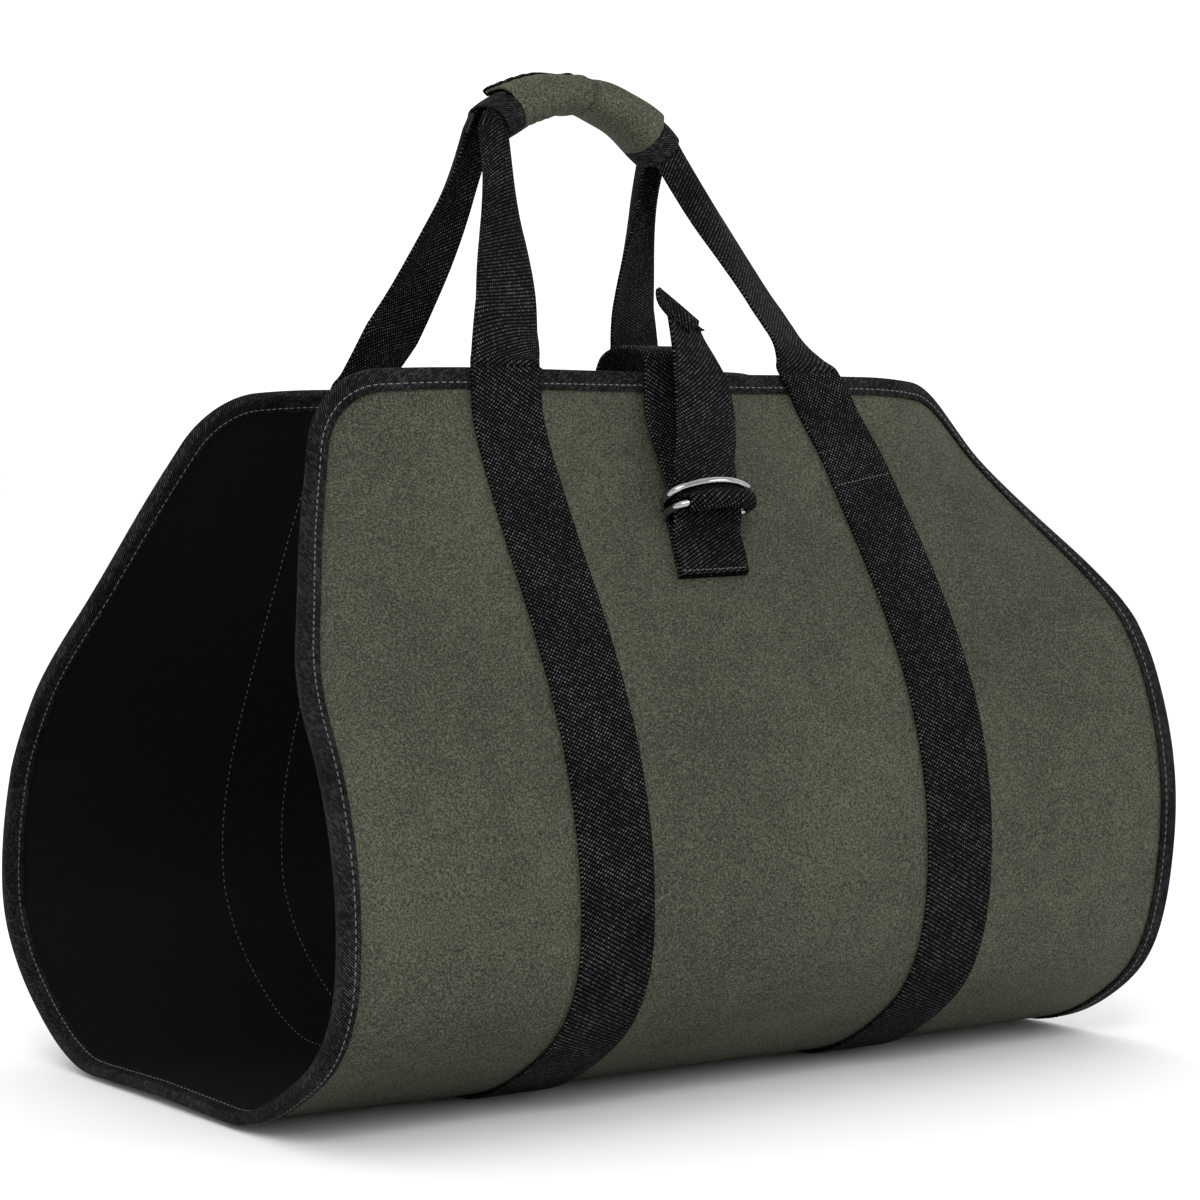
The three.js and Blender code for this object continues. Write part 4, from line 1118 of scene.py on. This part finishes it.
cross = line((STRAP_PLACE - CROSS_HALF, 10 - SEWN), (STRAP_PLACE + CROSS_HALF, 4 - SEWN), FINE_PITCH)
seam("strap_cross_stitches", cross, GAP + WEBBING + 0.05, FINE_STITCH, THREAD)
for side, place in (("left", -STRAP_PLACE), ("right", STRAP_PLACE)):
    rows = []
    inner, outer = place - BOX_HALF, place + BOX_HALF
    for facing in (-1, 1):
        high, low = facing * (SEWN + BOX_ABOVE), facing * (SEWN - BOX_BELOW)
        ends = [
            ((inner, high), (inner, facing * SEAM_FOOT)), ((outer, high), (outer, facing * SEAM_FOOT)),
            ((inner, high), (outer, high)), ((inner, low), (outer, low)),
            ((inner, high), (outer, low)), ((outer, high), (inner, low)),
        ]
        rows += [line(start, end, LINING_PITCH) for start, end in ends]
    for k, row in enumerate(rows):
        seam("lining_stitches_%s_%d" % (side, k + 1), row, INNER_FACE, LINING_STITCH, THREAD, -1.0)
loop_foot = LOOP_LENGTH - UPPER_BAR - 2
loop_middle = CLOSURE_PLACE - LOOP_SLANT
foot = line((loop_middle - CROSS_HALF, loop_foot), (loop_middle + CROSS_HALF, loop_foot), FINE_PITCH)
seam("ring_loop_stitches", foot, 2 * (GAP + WEBBING) + 0.05, FINE_STITCH, THREAD)
for k, past in enumerate((6, 24, 40)):
    along = HALF_LENGTH - BINDING_WIDTH - past
    row = line((-16, along), (16, along), 2.6)
    lift = strap_lift(row[:, 1]) + WEBBING + 0.05
    seam("closure_patch_stitches_%d" % (k + 1), row, lift, PATCH_STITCH, BLACK_THREAD)


# Studio


def studio():
    """Pale floor, even pale surroundings and three soft lights."""
    bpy.ops.mesh.primitive_plane_add(size=80, location=(0, 0, 0))
    floor = bpy.context.object
    floor.name = "floor"
    material = bpy.data.materials.new("pale floor")
    material.use_nodes = True
    shader = material.node_tree.nodes["Principled BSDF"]
    shader.inputs["Base Color"].default_value = (0.97, 0.97, 0.97, 1)
    shader.inputs["Roughness"].default_value = 0.9
    floor.data.materials.append(material)
    world = bpy.data.worlds.new("studio")
    bpy.context.scene.world = world
    world.use_nodes = True
    tree = world.node_tree
    ways = tree.nodes.new("ShaderNodeSeparateXYZ")
    tree.links.new(tree.nodes.new("ShaderNodeTexCoord").outputs["Generated"], ways.inputs[0])
    behind = math_node(tree, "MULTIPLY_ADD", ways.outputs["Y"], 0.5, 0.5)
    colour = ramp(tree, behind, [(0.15, (0.55, 0.55, 0.55)), (0.6, (1.0, 1.0, 1.0))])
    tree.links.new(colour, tree.nodes["Background"].inputs["Color"])
    tree.nodes["Background"].inputs["Strength"].default_value = 1.21
    for name, place, size, power in (
        ("key", (-1.6, -2.2, 2.0), 1.2, 34), ("fill", (1.8, -2.4, 1.0), 1.4, 16),
        ("spark", (-0.6, -1.6, 1.5), 0.25, 3), ("rim", (0.6, 2.0, 2.2), 1.4, 8),
    ):
        light = bpy.data.lights.new(name, "AREA")
        light.size = size
        light.energy = power
        lamp = bpy.data.objects.new(name, light)
        bpy.context.scene.collection.objects.link(lamp)
        aim = Vector(place) - Vector((0, 0, 0.2))
        lamp.matrix_world = Matrix.Translation(place) @ aim.to_track_quat("Z", "Y").to_matrix().to_4x4()


# Camera: focal length and frame in pixels, and its place before the part was stood on the floor
FOCAL = 3348.3
FRAME = 1200
EYE = np.array([-893.1, -1338.2, 292.0])


def camera():
    """Camera at the viewing angle: three rows give right, up and back."""
    right = np.array([0.8289, -0.5594, -0.0058])
    up = np.array([0.0307, 0.0351, 0.9989])
    back = np.cross(right, up)
    data = bpy.data.cameras.new("view")
    data.sensor_width = 36
    data.lens = data.sensor_width * FOCAL / FRAME
    data.clip_end = 200
    seen = bpy.data.objects.new("view", data)
    bpy.context.scene.collection.objects.link(seen)
    place = (EYE + STAND) * 0.001
    seen.matrix_world = Matrix([
        [right[0], up[0], back[0], place[0]],
        [right[1], up[1], back[1], place[1]],
        [right[2], up[2], back[2], place[2]],
        [0, 0, 0, 1],
    ])
    bpy.context.scene.camera = seen


studio()
camera()
bpy.context.scene.view_settings.view_transform = "Standard"
